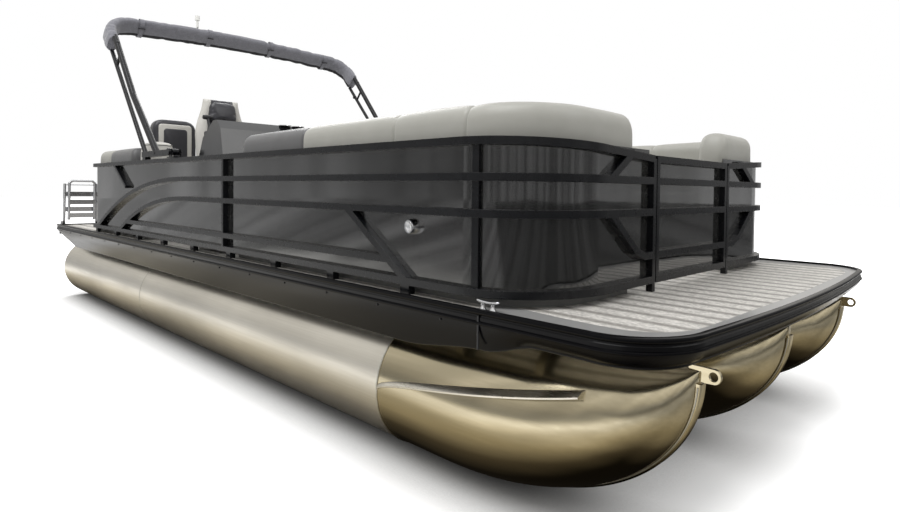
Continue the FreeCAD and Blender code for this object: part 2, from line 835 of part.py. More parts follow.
def fence_frame(side):
    """All rails, posts, arches and braces of one side, before any gate is cut out."""
    pieces = [
        rail_solid(fence_wire(side, TOP_Z, with_bow=False)),
        rail_solid(fence_wire(side, FOOT_RAIL_Z)),
    ]
    pieces += falling_rail(side, TOP_Z, centre_z(size("fence_top_gate")))
    ahead_of_arch = GATE - size("arch_top") - 1
    for z in (SECOND_Z, THIRD_Z):
        run = Part.makeLine(Vector(ahead_of_arch, side * FENCE, z), Vector(CORNER_X, side * FENCE, z))
        pieces.append(rail_solid(Part.Wire([run] + bow_edges(side, z))))
    pieces.append(rail_solid(fence_run(side, LOW_Z, GATE - size("rail_low_rear"), GATE - size("rail_low_front"))))
    pieces.append(arch(side, size("arch_outer_foot"), SECOND_Z))
    pieces.append(arch(side, size("arch_inner_foot"), THIRD_Z))
    y = side * FENCE
    strut_low = Vector(GATE - size("strut_foot"), y, SECOND_Z - 2 * RAIL)
    pieces.append(brace(Vector(GATE - size("strut_top"), y, TOP_Z), strut_low, size("strut_width")))
    pieces.append(brace(Vector(GATE - size("brace_top"), y, THIRD_Z), Vector(GATE - size("brace_foot"), y, FOOT_RAIL_Z)))
    pieces.append(post(GATE - size("mid_post"), y, TOP_Z))
    stern_post_y = side * (size("stern_gate_half") + size("gate_post") * 1.5)
    pieces.append(box(FENCE_REAR - RAIL / 2, FENCE_REAR + RAIL / 2, stern_post_y - size("gate_post") / 2,
                      stern_post_y + size("gate_post") / 2, DECK, TOP_Z))
    gate_x = bow_point(side, 1.0, 0).x
    pieces.append(box(gate_x - RAIL / 2, gate_x + RAIL / 2, side * GATE_SIDE - size("gate_post") / 2,
                      side * GATE_SIDE + size("gate_post") / 2, DECK, centre_z(size("fence_top_gate"))))
    pieces.append(corner_stud(side))
    pieces += bow_braces(side)
    pieces += spacers(side)
    return fused(pieces)


def corner_stud(side):
    """Upright stud at the start of the bow corner, set back to the rails' inner half."""
    turn = math.radians(size("stud_turn"))
    half = size("stud_width") / 2
    stud = box(-half, half, size("stud_inset") - RAIL / 2, 0, DECK + size("fence_foot"), TOP_Z)
    stud = placed(stud, Vector(), -size("stud_turn"))
    stud.translate(Vector(CORNER_X + BOW_CORNER * math.sin(turn), FRONT_Y + BOW_CORNER * math.cos(turn), 0))
    return on_side(stud, side)


def spacers(side):
    """Feet that carry the foot rail above the deck."""
    pitch = size("spacer_pitch")
    count = int((CORNER_X - GATE + size("fence_rear")) // pitch)
    half = size("spacer_size") / 2
    feet = []
    for index in range(count):
        x = GATE - size("fence_rear") + (index + 0.5) * pitch
        feet.append(box(x - half, x + half, side * FENCE - RAIL / 2, side * FENCE + RAIL / 2, DECK,
                        DECK + size("fence_foot")))
    return feet


SIDE_GATE_REAR = GATE - size("side_gate_front") - size("side_gate_width")
SIDE_GATE_FRONT = GATE - size("side_gate_front")


GATE_GAP = size("gate_gap")
BOW_GATE_X = bow_point(PORT, 1.0, 0).x
GATE_LEVELS = (SECOND_Z, THIRD_Z, FOURTH_Z)
SIDE_LEVELS = (SECOND_Z, THIRD_Z, LOW_Z)
STERN_GATE_HALF = size("stern_gate_half") + size("gate_post")
# Each gate: place of its hinge edge, its turn about Z, width, top height and rail heights
GATES = {
    "bow_gate": (Vector(BOW_GATE_X, GATE_GAP - size("gate_half"), 0), 90, 2 * (size("gate_half") - GATE_GAP),
                 DECK + size("fence_top_gate"), GATE_LEVELS),
    "side_gate": (Vector(SIDE_GATE_FRONT - GATE_GAP, FENCE, 0), 180, size("side_gate_width") - 2 * GATE_GAP,
                  DECK + size("fence_top"), SIDE_LEVELS),
    "stern_gate": (Vector(FENCE_REAR, STERN_GATE_HALF - GATE_GAP, 0), -90, 2 * (STERN_GATE_HALF - GATE_GAP),
                   DECK + size("fence_top"), SIDE_LEVELS),
}


def hinge_halves(name):
    """Knuckles of a gate's two hinges: those on the gate, and those with the pins on the post."""
    place, angle = GATES[name][:2]
    pin_x = -GATE_GAP / 2
    pin_y = RAIL / 2 + size("hinge_stand")
    barrel, pin, tall = size("hinge_barrel"), size("hinge_pin"), size("hinge_height")
    reach = size("hinge_reach")
    on_gate, on_post = [], []
    for level in (size("hinge_low"), size("hinge_high")):
        z = DECK + level
        lower = Part.makeCylinder(barrel, tall, Vector(pin_x, pin_y, z), AXIS_Z)
        lower = lower.fuse(box(pin_x - reach, pin_x, RAIL / 2, pin_y, z, z + tall))
        lower = lower.fuse(Part.makeCylinder(pin, 2 * tall - 2, Vector(pin_x, pin_y, z), AXIS_Z))
        on_post.append(placed(lower, place, angle))
        z += tall + FIT
        upper = Part.makeCylinder(barrel, tall, Vector(pin_x, pin_y, z), AXIS_Z)
        upper = upper.fuse(box(pin_x, pin_x + reach, RAIL / 2, pin_y, z, z + tall))
        upper = upper.cut(Part.makeCylinder(pin + FIT, tall, Vector(pin_x, pin_y, z), AXIS_Z))
        on_gate.append(placed(upper, place, angle))
    return on_gate, on_post


def add_fences():
    """Starboard fence whole, port fence parted by the side gate between two posts."""
    shaped("fence_starboard", fused([fence_frame(STARBOARD)] + hinge_halves("bow_gate")[1]))
    whole = fence_frame(PORT)
    gap = box(SIDE_GATE_REAR, SIDE_GATE_FRONT, FENCE - RAIL, FENCE + RAIL, DECK - 1, TOP_Z + 100)
    parted = whole.cut(gap)
    post_width = size("gate_post")
    rear_post = box(SIDE_GATE_REAR - post_width, SIDE_GATE_REAR, FENCE - RAIL / 2, FENCE + RAIL / 2, DECK,
                    TOP_Z + RAIL / 2)
    front_post = box(SIDE_GATE_FRONT, SIDE_GATE_FRONT + post_width, FENCE - RAIL / 2, FENCE + RAIL / 2, DECK,
                     TOP_Z + RAIL / 2)
    halves = [part for part in parted.Solids if part.Volume > 1e5]
    rear = min(halves, key=lambda part: part.CenterOfMass.x)
    front = max(halves, key=lambda part: part.CenterOfMass.x)
    rear = fused([rear, rear_post] + hinge_halves("stern_gate")[1])
    front = fused([front, front_post] + hinge_halves("side_gate")[1])
    shaped("fence_port", Part.makeCompound([rear, front]))


add_fences()


def fence_panel(side):
    """Sheet inside the rails, bent round both corners."""
    inset = RAIL / 2 + size("panel_gap") + size("panel_thickness") / 2
    low = DECK + size("fence_foot")
    high = TOP_Z
    wire = fence_wire(side, low, inset)
    first = wire.OrderedVertexes[0].Point
    profile = square(first + Vector(0, 0, (high - low) / 2), Vector(0, side, 0), AXIS_Z, size("panel_thickness"),
                     high - low)
    return pipe(wire, profile, AXIS_Z)


def add_panels():
    """Sheets of the two side fences, cut back to the gate posts' far edges so that the hinges pass."""
    shaped("panel_starboard", fence_panel(STARBOARD))
    back = size("gate_post") - size("gate_gap") / 2
    side_gap = box(SIDE_GATE_REAR - back, SIDE_GATE_FRONT + back, FENCE - 3 * RAIL, FENCE + RAIL, DECK, TOP_Z + RAIL)
    stern_half = STERN_GATE_HALF + back
    stern_gap = box(FENCE_REAR - RAIL, FENCE_REAR + 3 * RAIL, -stern_half, stern_half, DECK, TOP_Z + RAIL)
    halves = fence_panel(PORT).cut(side_gap).cut(stern_gap).Solids
    shaped("panels_port", Part.makeCompound(halves))


add_panels()


# Gates
def gate_shapes(width, height_low, height_high, levels):
    """Frame and sheet of a gate drawn from its hinge edge along +X, its middle plane at Y = 0."""
    stile = size("gate_post")
    pieces = [
        box(0, stile, -RAIL / 2, RAIL / 2, height_low, height_high),
        box(width - stile, width, -RAIL / 2, RAIL / 2, height_low, height_high),
        box(0, width, -RAIL / 2, RAIL / 2, height_high - RAIL, height_high),
        box(0, width, -RAIL / 2, RAIL / 2, height_low, height_low + RAIL),
    ]
    for level in levels:
        pieces.append(box(0, width, -RAIL / 2, RAIL / 2, level - RAIL / 2, level + RAIL / 2))
    frame = fused(pieces)
    low_y = RAIL / 2
    margin = size("gate_sheet_margin")
    sheet_plate = box(margin, width - margin, low_y, low_y + size("panel_thickness"), height_low, height_high - margin)
    return frame, sheet_plate


def add_gates():
    """Frame with hinge knuckles, and sheet, of each gate."""
    low = DECK + size("fence_foot")
    for name, (place, angle, width, high, levels) in GATES.items():
        frame, sheet_plate = gate_shapes(width, low, high, levels)
        on_gate = hinge_halves(name)[0]
        shaped(name + "_frame", fused([placed(frame, place, angle)] + on_gate))
        shaped(name + "_panel", placed(sheet_plate, place, angle))


add_gates()


# Lounges
SEAT_Z = DECK + size("lounge_height")
CUSHION_Z = SEAT_Z + size("cushion_thickness")
BACK_Z = SEAT_Z + size("back_height")
PANEL_INSET = RAIL / 2 + size("panel_thickness") + size("lounge_inset")
INSIDE = FENCE - PANEL_INSET
LOUNGE_INNER = INSIDE - size("lounge_depth")
BOW_INSIDE = CORNER_X + BOW_CORNER - PANEL_INSET


def cockpit(inset, z_low, z_high):
    """Space inside the fence, less a margin, for trimming what stands against the fence."""
    wires = [fence_wire(side, z_low, inset) for side in SIDES]
    ends = [(wire.OrderedVertexes[0].Point, wire.OrderedVertexes[-1].Point) for wire in wires]
    closing = [Part.makeLine(ends[0][index], ends[1][index]) for index in (0, 1)]
    outline = Part.Wire(Part.__sortEdges__(wires[0].Edges + wires[1].Edges + closing))
    return Part.Face(outline).extrude(Vector(0, 0, z_high - z_low))


LOUNGE_SPACE = cockpit(PANEL_INSET, DECK, DECK + 2 * size("lounge_height") + size("back_height"))


def prism(points, z_low, z_high):
    """Upright block on a plan outline, trimmed to the space inside the fence."""
    block = polygon([Vector(x, y, z_low) for x, y in points]).extrude(Vector(0, 0, z_high - z_low))
    return largest(block.common(LOUNGE_SPACE))


def bevelled(block, edge_width):
    """Block with its top edges bevelled."""
    top = block.BoundBox.ZMax
    edges = [edge for edge in block.Edges if edge.BoundBox.ZMin > top - 1]
    return block.makeChamfer(edge_width, edges)


def run_outline(rear, front, inner, outer):
    """Plan of a piece that runs along a side."""
    return [(rear, inner), (front, inner), (front, outer), (rear, outer)]


def bow_outline_of(rear, front, cross, inner, outer, end, inner_turn, outer_turn):
    """Plan of a piece that runs along a side, turns and then runs across the bow to the doorway."""
    turn = min(inner_turn, inner - end)
    corner = [(cross - turn, inner), (cross, inner - turn)]
    if turn < inner - end:
        corner.append((cross, end))
    return [(rear, inner)] + corner + [(front, end), (front, outer - outer_turn), (front - outer_turn, outer),
                                       (rear, outer)]


def lounge_base(outline_of):
    """Moulded seat box that stands back under its front edge."""
    kick = size("toe_kick_height")
    foot = prism(outline_of(size("toe_kick")), DECK, DECK + kick)
    return foot.fuse(prism(outline_of(0), DECK + kick, SEAT_Z)).removeSplitter()


def bow_lounge(rear, side):
    """Base, seat and backrest of a bow lounge that wraps round the corner to the doorway."""
    end = size("doorway_half")
    cross = BOW_INSIDE - size("lounge_bow_depth")
    back = size("back_thickness")
    gap = size("soft_gap")
    over = size("cushion_overhang")
    turn = size("lounge_turn")
    base = lounge_base(lambda inset: bow_outline_of(rear, BOW_INSIDE, cross + inset, LOUNGE_INNER + inset, INSIDE,
                                                    end + inset, turn / 2, gap))
    seat = prism(bow_outline_of(rear, BOW_INSIDE - back - gap, cross - over, LOUNGE_INNER - over, INSIDE - back - gap,
                                end, turn / 2, turn + gap), SEAT_Z + gap, CUSHION_Z)
    rest = prism(bow_outline_of(rear, BOW_INSIDE, BOW_INSIDE - back, INSIDE - back, INSIDE, end, turn, gap),
                 SEAT_Z + gap, BACK_Z)
    soft = [bevelled(seat, size("cushion_edge")), bevelled(rest, size("back_edge"))]
    return [on_side(item, side) for item in [base] + soft]


def side_lounge(rear, front, side):
    """Base, seat and backrest of a lounge that runs along a side."""
    back = size("back_thickness")
    gap = size("soft_gap")
    base = lounge_base(lambda inset: run_outline(rear, front, LOUNGE_INNER + inset, INSIDE))
    seat = prism(run_outline(rear, front, LOUNGE_INNER - size("cushion_overhang"), INSIDE - back - gap), SEAT_Z + gap,
                 CUSHION_Z)
    rest = prism(run_outline(rear, front, INSIDE - back, INSIDE), SEAT_Z + gap, BACK_Z)
    soft = [bevelled(seat, size("cushion_edge")), bevelled(rest, size("back_edge"))]
    return [on_side(item, side) for item in [base] + soft]


def add_bow_lounges():
    """Both bow lounges, each kind of piece as one sub-part."""
    sets = [
        bow_lounge(GATE - size("lounge_starboard_rear"), STARBOARD),
        bow_lounge(GATE - size("lounge_port_rear"), PORT),
    ]
    for label, pieces in zip(("bow_lounge_bases", "bow_seat_cushions", "bow_backrests"), zip(*sets)):
        shaped(label, Part.makeCompound(list(pieces)))


def add_aft_lounges():
    """Aft lounges, the backrest behind the helm and the bolster between them."""
    rear = FENCE_REAR + PANEL_INSET
    front = GATE - size("aft_lounge_front")
    sets = [side_lounge(rear, front, STARBOARD), side_lounge(rear, SIDE_GATE_REAR - size("aft_lounge_gap"), PORT)]
    bases, seats, backs = ([pieces[index] for pieces in sets] for index in range(3))
    gap = size("soft_gap")
    ahead = front + gap + size("chaise_thickness")
    outer = INSIDE - size("chaise_gap")
    inner = outer - size("chaise_width")
    chaise = prism(run_outline(front + gap, ahead, inner, outer), DECK, DECK + size("chaise_height"))
    shaped("chaise_back", mirrored(bevelled(chaise, size("back_edge"))))
    plan = run_outline(ahead + gap, ahead + size("bolster_length"), INSIDE - size("bolster_depth"), INSIDE)
    bases.append(mirrored(prism(plan, DECK, SEAT_Z)))
    bolster = prism(plan, SEAT_Z + gap, SEAT_Z + size("bolster_height"))
    backs.append(mirrored(bevelled(bolster, size("back_edge"))))
    for label, pieces in (("aft_lounge_bases", bases), ("aft_seat_cushions", seats), ("aft_backrests", backs)):
        shaped(label, Part.makeCompound(pieces))


add_bow_lounges()
add_aft_lounges()


# Helm
CONSOLE_FRONT = GATE - size("console_front")
CONSOLE_REAR = CONSOLE_FRONT - size("console_length")
CONSOLE_Y_LOW = size("console_inset") - size("beam_half")
CONSOLE_Y = CONSOLE_Y_LOW + size("console_width") / 2
CONSOLE_TOP = DECK + size("console_height")


def add_console():
    """Helm console with a sloping dash and a knee recess, padded from its side outline."""
    body = document.addObject("PartDesign::Body", "helm_console")
    sketch = new_sketch(body, "console_side", "XZ_Plane", -CONSOLE_Y_LOW)
    height = size("console_height")
    dash_rear = CONSOLE_REAR + size("dash_lip")
    knee = DECK + height - size("console_knee")
    top_front = CONSOLE_FRONT - size("dash_reach")
    draw_lines(sketch, [
        (CONSOLE_FRONT, DECK), (CONSOLE_FRONT - size("dash_lip") / 2, DECK + height / 2),
        (top_front + size("dash_lip"), CONSOLE_TOP - size("dash_lip")), (top_front, CONSOLE_TOP),
        (top_front - size("dash_lip"), CONSOLE_TOP),
        (CONSOLE_REAR + size("dash_reach"), CONSOLE_TOP - size("dash_drop")),
        (dash_rear, CONSOLE_TOP - 3 * size("dash_drop")), (dash_rear, knee),
        (CONSOLE_REAR + size("console_foot"), DECK),
    ])
    feature = pad(body, "console_block", sketch, "Sizes.console_width")
    feature.Reversed = True
    body.Tip = feature
    document.recompute()
    register(body, "helm_console")
    return body


console = add_console()

WHEEL_TILT = math.radians(size("wheel_tilt"))
WHEEL_AXIS = Vector(-math.sin(WHEEL_TILT), 0, math.cos(WHEEL_TILT))
WHEEL_BASE = Vector(CONSOLE_REAR + 2 * size("dash_lip"), CONSOLE_Y, CONSOLE_TOP - size("wheel_drop"))
WHEEL_CENTRE = WHEEL_BASE + WHEEL_AXIS * size("wheel_stand")
RIM_SIDES = 8
SPOKE_ANGLES = (90, 210, 330)


def ring(centre, axis, across, radius, thick):
    """Many-sided ring about an axis."""
    outline = []
    for index in range(RIM_SIDES):
        angle = 2 * math.pi * (index + 0.5) / RIM_SIDES
        outline.append(centre + across * (radius + thick * math.cos(angle)) + axis * (thick * math.sin(angle)))
    return polygon(outline).revolve(centre, axis, 360)


def add_wheel():
    """Steering wheel with rim, three spokes and hub, and the column that it stands on."""
    hub_radius = size("wheel_hub")
    up = WHEEL_AXIS.cross(AXIS_Y)
    rim = ring(WHEEL_CENTRE, WHEEL_AXIS, AXIS_Y, size("wheel_radius"), size("wheel_rim"))
    hub = Part.makeCylinder(hub_radius, hub_radius, WHEEL_CENTRE - WHEEL_AXIS * (hub_radius / 2), WHEEL_AXIS)
    spokes = []
    for angle in SPOKE_ANGLES:
        turn = math.radians(angle)
        way = AXIS_Y * math.cos(turn) + up * math.sin(turn)
        spokes.append(rod(WHEEL_CENTRE + way * (hub_radius / 2), WHEEL_CENTRE + way * size("wheel_radius"),
                          size("wheel_spoke")))
    shaped("steering_wheel", fused([rim, hub] + spokes))
    top = WHEEL_CENTRE - WHEEL_AXIS * (hub_radius / 2 + FIT)
    column = rod(WHEEL_BASE - WHEEL_AXIS * size("wheel_stand"), top, size("column_radius"))
    shaped("steering_column", largest(column.cut(console.Shape)))


add_wheel()

CHAIR = Vector(GATE - size("chair_x"), -size("chair_y"), 0)
CHAIR_SEAT_Z = DECK + size("chair_pedestal")


def add_chair():
    """Helm chair on its pedestal: turning plate, seat, shaped back with headrest, and arms."""
    x, y = CHAIR.x, CHAIR.y
    foot = Part.makeCylinder(size("chair_foot"), size("chair_foot_thickness"), Vector(x, y, DECK), AXIS_Z)
    post = Part.makeCylinder(size("chair_post"), size("chair_pedestal"), Vector(x, y, DECK), AXIS_Z)
    shaped("chair_pedestal", fused([foot, post]))

    low = CHAIR_SEAT_Z + FIT
    half = size("chair_seat_half")
    rear = x - size("chair_seat_rear")
    thick = size("chair_back_thick")
    plate_top = low + size("chair_plate")
    plate_half = half + size("chair_arm_width")
    shaped("chair_base", box(rear - thick, x + size("chair_seat_rear"), y - plate_half, y + plate_half, low, plate_top))
    seat_front = x + size("chair_seat_front")
    seat = box(rear + FIT, seat_front, y - half, y + half, plate_top + FIT, low + size("chair_seat_height"))
    shaped("chair_cushion", bevelled(seat, size("cushion_edge")))

    top = CHAIR_SEAT_Z + size("chair_back_height")
    lean = size("chair_back_lean")
    shoulder = (low + 2 * top) / 3
    profile = plate_xz([(rear, plate_top + FIT), (rear - lean / 2, shoulder), (rear - lean, top - lean),
                        (rear - lean / 2, top - lean / 2), (rear - lean, top), (rear - lean - thick, top),
                        (rear - lean - thick, shoulder), (rear - thick, plate_top + FIT)],
                       y - size("chair_back_half"), y + size("chair_back_half"))
    wide, head = size("chair_back_half"), size("chair_head_half")
    front_view = [(-wide, plate_top), (wide, plate_top), (wide, shoulder - thick), (head + lean / 4, shoulder + thick / 2),
                  (head, top - lean / 4), (head - lean / 4, top + 1), (-head + lean / 4, top + 1),
                  (-head, top - lean / 4), (-head - lean / 4, shoulder + thick / 2), (-wide, shoulder - thick)]
    outline = polygon([Vector(rear - lean - 2 * thick, y + across, z) for across, z in front_view])
    shaped("chair_back", profile.common(outline.extrude(Vector(lean + 3 * thick, 0, 0))))

    arms = []
    pad_height = size("chair_arm_pad")
    arm_top = low + size("chair_arm_height")
    for side in SIDES:
        inner = y + side * (half + FIT)
        outer = y + side * (half + size("chair_arm_width"))
        y_low, y_high = min(inner, outer), max(inner, outer)
        arms.append(plate_xz([(rear + FIT, plate_top + FIT), (rear + 2 * pad_height, plate_top + FIT),
                              (rear + 2 * pad_height, arm_top - pad_height), (seat_front - pad_height, arm_top - pad_height),
                              (seat_front - pad_height, arm_top), (rear + FIT, arm_top)], y_low, y_high))
    shaped("chair_arms", Part.makeCompound([arm.cut(seat) for arm in arms]))


add_chair()


# Tower with the folded canopy
TOWER_PIVOT = Vector(GATE - size("tower_pivot_aft"), 0, DECK + size("tower_pivot_height"))
RAIL_TOP = TOP_Z + RAIL / 2
ARM_HALF = size("tower_arm_width") / 2
BOOT_LEAN = math.radians(size("boot_lean"))
BOOT_UP = Vector(-math.sin(BOOT_LEAN), 0, math.cos(BOOT_LEAN))
BOOT_FORWARD = Vector(math.cos(BOOT_LEAN), 0, math.sin(BOOT_LEAN))
BOOT_TOP = TOWER_PIVOT + Vector(-size("boot_aft"), 0, size("boot_rise"))
# How far up the rear leg, and up the front leg's upper half, the strap between them is fixed
STRAP_SHARES = (0.82, 0.7)


def tower_mount(side):
    """Rail bracket with two ears, pin and knob at the pivot, and a rest block further aft."""
    x, z = TOWER_PIVOT.x, TOWER_PIVOT.z
    y = side * FENCE
    ear = size("tower_ear")
    reach = ARM_HALF + ear - 2
    half = size("tower_arm_height") / 2
    base = box(x - 3 * half, x + 3 * half, y - reach - ear, y + reach + ear, RAIL_TOP, RAIL_TOP + ear)
    ears = [box(x - half, x + half, y + way * (reach + ear / 2) - ear / 2, y + way * (reach + ear / 2) + ear / 2,
                RAIL_TOP, z + half) for way in SIDES]
    pin_half = reach + 2 * ear
    pin = Part.makeCylinder(size("tower_pin"), 2 * pin_half, Vector(x, y - pin_half, z), AXIS_Y)
    knob = Part.makeCylinder(size("tower_knob"), 2 * ear, Vector(x, y + side * (reach + ear), z), AXIS_Y * side)
    rest_x = x - size("tower_arm") + half
    rest = box(rest_x, rest_x + 3 * half, y - ARM_HALF, y + ARM_HALF, RAIL_TOP, z - half - FIT)
    return [fused([base] + ears + [pin, knob]), rest]


def tower_side(side, boot):
    """Arm on the rail with its two leaning legs and the strap that joins them, cut where the boot begins."""
    x, z = TOWER_PIVOT.x, TOWER_PIVOT.z
    y = side * FENCE
    half = size("tower_arm_height") / 2
    arm = box(x - size("tower_arm"), x, y - ARM_HALF, y + ARM_HALF, z - half, z + half)
    arm = arm.fuse(Part.makeCylinder(half, 2 * ARM_HALF, Vector(x, y - ARM_HALF, z), AXIS_Y))
    eye = Part.makeCylinder(size("tower_pin") + FIT, 4 * ARM_HALF, Vector(x, y - 2 * ARM_HALF, z), AXIS_Y)
    end = Vector(BOOT_TOP.x, y, BOOT_TOP.z) - BOOT_UP * (size("boot_drop") - half)
    spread = BOOT_FORWARD * (size("boot_width") / 2 - half)
    front_foot = Vector(x - size("tower_front_foot"), y, z)
    rear_foot = Vector(x - size("tower_rear_foot"), y, z)
    front_top = end + spread
    bow = (front_top - front_foot).cross(AXIS_Y).normalize() * -size("tower_leg")
    knee = (front_foot + front_top) * 0.5 - bow
    pieces = [arm, rod(rear_foot, end - spread, size("tower_leg_rear") / 2)]
    pieces.append(bent_rod([front_foot, knee, front_top], size("tower_leg") / 2, AXIS_Y))
    rear_share, front_share = STRAP_SHARES
    strap_low = rear_foot + (end - spread - rear_foot) * rear_share
    strap_high = knee + (front_top - knee) * front_share
    pieces.append(rod(strap_low, strap_high, half / 2))
    return largest(fused(pieces).cut(eye).cut(boot))


def boot_path():
    """U-shaped path of the folded canopy, crowned across the boat, in the leaning plane."""
    reach = FENCE + RAIL / 2 - size("boot_inset") + size("boot_depth") / 2
    corner = size("boot_corner")
    bend = corner * (1 - math.sqrt(0.5))
    crown = size("boot_crown")
    left = BOOT_TOP - AXIS_Y * reach
    right = BOOT_TOP + AXIS_Y * reach
    drop = BOOT_UP * size("boot_drop")
    edges = [
        Part.makeLine(left - drop, left - BOOT_UP * corner),
        Part.Arc(left - BOOT_UP * corner, left - BOOT_UP * bend + AXIS_Y * bend, left + AXIS_Y * corner).toShape(),
        Part.makeLine(left + AXIS_Y * corner, BOOT_TOP + BOOT_UP * crown),
        Part.makeLine(BOOT_TOP + BOOT_UP * crown, right - AXIS_Y * corner),
        Part.Arc(right - AXIS_Y * corner, right - AXIS_Y * bend - BOOT_UP * bend, right - BOOT_UP * corner).toShape(),
        Part.makeLine(right - BOOT_UP * corner, right - drop),
    ]
    return Part.Wire(edges)


def add_tower():
    """Folded canopy in its boot, tower sides that carry it, and anchor light."""
    path = boot_path()
    start = path.OrderedVertexes[0].Point
    profile = square(start, BOOT_UP, BOOT_FORWARD, size("boot_depth"), size("boot_width"))
    boot = pipe(path, profile, BOOT_FORWARD)
    shaped("canopy_boot", boot)
    shaped("tower_frame", Part.makeCompound([tower_side(side, boot) for side in SIDES]))
    shaped("tower_mounts", Part.makeCompound([piece for side in SIDES for piece in tower_mount(side)]))
    light = Vector(BOOT_TOP.x, -size("anchor_light_y"), BOOT_TOP.z)
    post = Part.makeCylinder(size("anchor_light_radius") / 2, size("boot_width"), light, AXIS_Z)
    lamp = Part.makeCylinder(size("anchor_light_radius"), size("light_post") / 2,
                             light + AXIS_Z * size("boot_width"), AXIS_Z)
    shaped("anchor_light", largest(fused([post, lamp]).cut(boot)))


add_tower()


# Boarding ladder, folded up at the starboard stern corner
LADDER_X = STERN - size("skirt_wall") - size("ladder_stand")
LADDER_Z = DECK + size("ladder_rise")
LADDER_OUT = size("ladder_inset") - size("beam_half")
LADDER_IN = LADDER_OUT + size("ladder_width")
LADDER_TUBE = size("ladder_tube") / 2
LADDER_TOP = LADDER_Z + size("ladder_length")
LADDER_EYE = size("ladder_pin") + FIT
# Heights of the treads on each section, as shares of its length
UPPER_STEPS = (0.3, 0.7)
LOWER_STEPS = (0.15, 0.5)


def leaned(shape):
    """Copy of a ladder section, leaned forward about its pivot so that it stays up by itself."""
    copy = shape.copy()
    copy.rotate(Vector(LADDER_X, 0, LADDER_Z), AXIS_Y, size("ladder_lean"))
    return copy


def hoop(x, y_low, y_high, z_low, z_top):
    """Two rails joined at the top by a bent tube."""
    shoulder = z_top - size("ladder_tube")
    corners = [Vector(x, y_low, z_low), Vector(x, y_low, shoulder), Vector(x, y_low + LADDER_TUBE * 2, z_top),
               Vector(x, y_high - LADDER_TUBE * 2, z_top), Vector(x, y_high, shoulder), Vector(x, y_high, z_low)]
    return [bent_rod(corners, LADDER_TUBE, AXIS_X)]


def ladder_steps(x, y_low, y_high, shares):
    """Flat treads between two rails."""
    lows = [LADDER_Z + share * size("ladder_length") for share in shares]
    return [box(x - LADDER_TUBE, x + LADDER_TUBE, y_low, y_high, low, low + size("ladder_step")) for low in lows]


def add_ladder():
    """Brackets with pins, upper section and the lower section folded beside it."""
    ear = size("ladder_ear")
    rise = size("ladder_rise")
    pin = size("ladder_pin")
    brackets = []
    for y, way in ((LADDER_OUT, -1), (LADDER_IN, 1)):
        face = y + way * (LADDER_TUBE + ear)
        ear_low = min(face, face + way * ear)
        plate = box(LADDER_X - rise, STERN - size("skirt_wall"), ear_low, ear_low + ear, LADDER_Z - 2 * rise,
                    LADDER_Z + rise)
        axle = Part.makeCylinder(pin, 2 * LADDER_TUBE + 2 * ear, Vector(LADDER_X, face + way * ear, LADDER_Z), AXIS_Y * -way)
        brackets.append(plate.fuse(axle))
    shaped("ladder_brackets", Part.makeCompound(brackets))

    rails = [rod(Vector(LADDER_X, y, LADDER_Z - LADDER_TUBE), Vector(LADDER_X, y, LADDER_TOP + LADDER_TUBE), LADDER_TUBE)
             for y in (LADDER_OUT, LADDER_IN)]
    upper = fused(rails + ladder_steps(LADDER_X, LADDER_OUT, LADDER_IN, UPPER_STEPS))
    for y in (LADDER_OUT, LADDER_IN):
        bore = Part.makeCylinder(LADDER_EYE, 4 * LADDER_TUBE, Vector(LADDER_X, y - 2 * LADDER_TUBE, LADDER_Z), AXIS_Y)
        upper = upper.cut(bore)
    hinge_pin = Part.makeCylinder(pin, size("ladder_width"), Vector(LADDER_X, LADDER_OUT, LADDER_TOP), AXIS_Y)
    shaped("ladder_upper", leaned(fused([upper, hinge_pin])))

    inner = 2 * LADDER_TUBE + ear
    x = LADDER_X + size("ladder_offset")
    y_low, y_high = LADDER_OUT + inner, LADDER_IN - inner
    lower = hoop(x, y_low, y_high, LADDER_Z + 2 * rise, LADDER_TOP + 2 * size("ladder_tube"))
    lower += ladder_steps(x, y_low, y_high, LOWER_STEPS)
    for y in (y_low, y_high):
        lower.append(box(LADDER_X - LADDER_TUBE, x, y - ear / 2, y + ear / 2, LADDER_TOP - LADDER_TUBE,
                         LADDER_TOP + LADDER_TUBE))
    eye = Part.makeCylinder(LADDER_EYE, size("ladder_width"), Vector(LADDER_X, LADDER_OUT, LADDER_TOP), AXIS_Y)
    shaped("ladder_lower", leaned(fused(lower).cut(eye)))


add_ladder()


# Outboard motor, drawn upright and then tilted up about its pivot
MOTOR_PIVOT = Vector(GATE - size("motor_pivot_aft"), 0, size("motor_pivot_z"))
STEER_X = MOTOR_PIVOT.x - size("motor_steer_back")
GEAR_Z = MOTOR_PIVOT.z - size("gear_drop")
PLATE_Z = MOTOR_PIVOT.z - size("plate_drop")
BLADES = 3


def tilted(shape):
    """Copy of a motor piece, tilted up to its parked place."""
    copy = shape.copy()
    copy.rotate(MOTOR_PIVOT, AXIS_Y, size("motor_tilt"))
    return copy


def add_clamp():
    """Clamp on the transom with the tilt pin between its cheeks."""
    transom = GATE - size("transom_aft")
    px, pz = MOTOR_PIVOT.x, MOTOR_PIVOT.z
    half, thick, pin = size("clamp_half"), size("clamp_cheek"), size("motor_pin")
    low = size("clamp_low")
    plate_top = size("transom_top") - pin
    plate = size("tow_plate")
    outline = [(transom, low), (transom - 5 * pin, low), (px - 2 * pin, pz - 11 * pin), (px - 2 * pin, pz + 2 * pin),
               (px + 2 * pin, pz + 2 * pin), (transom, plate_top + 3 * pin)]
    pieces = [plate_xz(outline, half, half + thick), plate_xz(outline, -half - thick, -half)]
    pieces.append(Part.makeCylinder(pin, 2 * (half + thick), Vector(px, -half - thick, pz), AXIS_Y))
    pieces.append(box(transom - plate, transom, -half, half, low, plate_top))
    shaped("motor_clamp", fused(pieces))


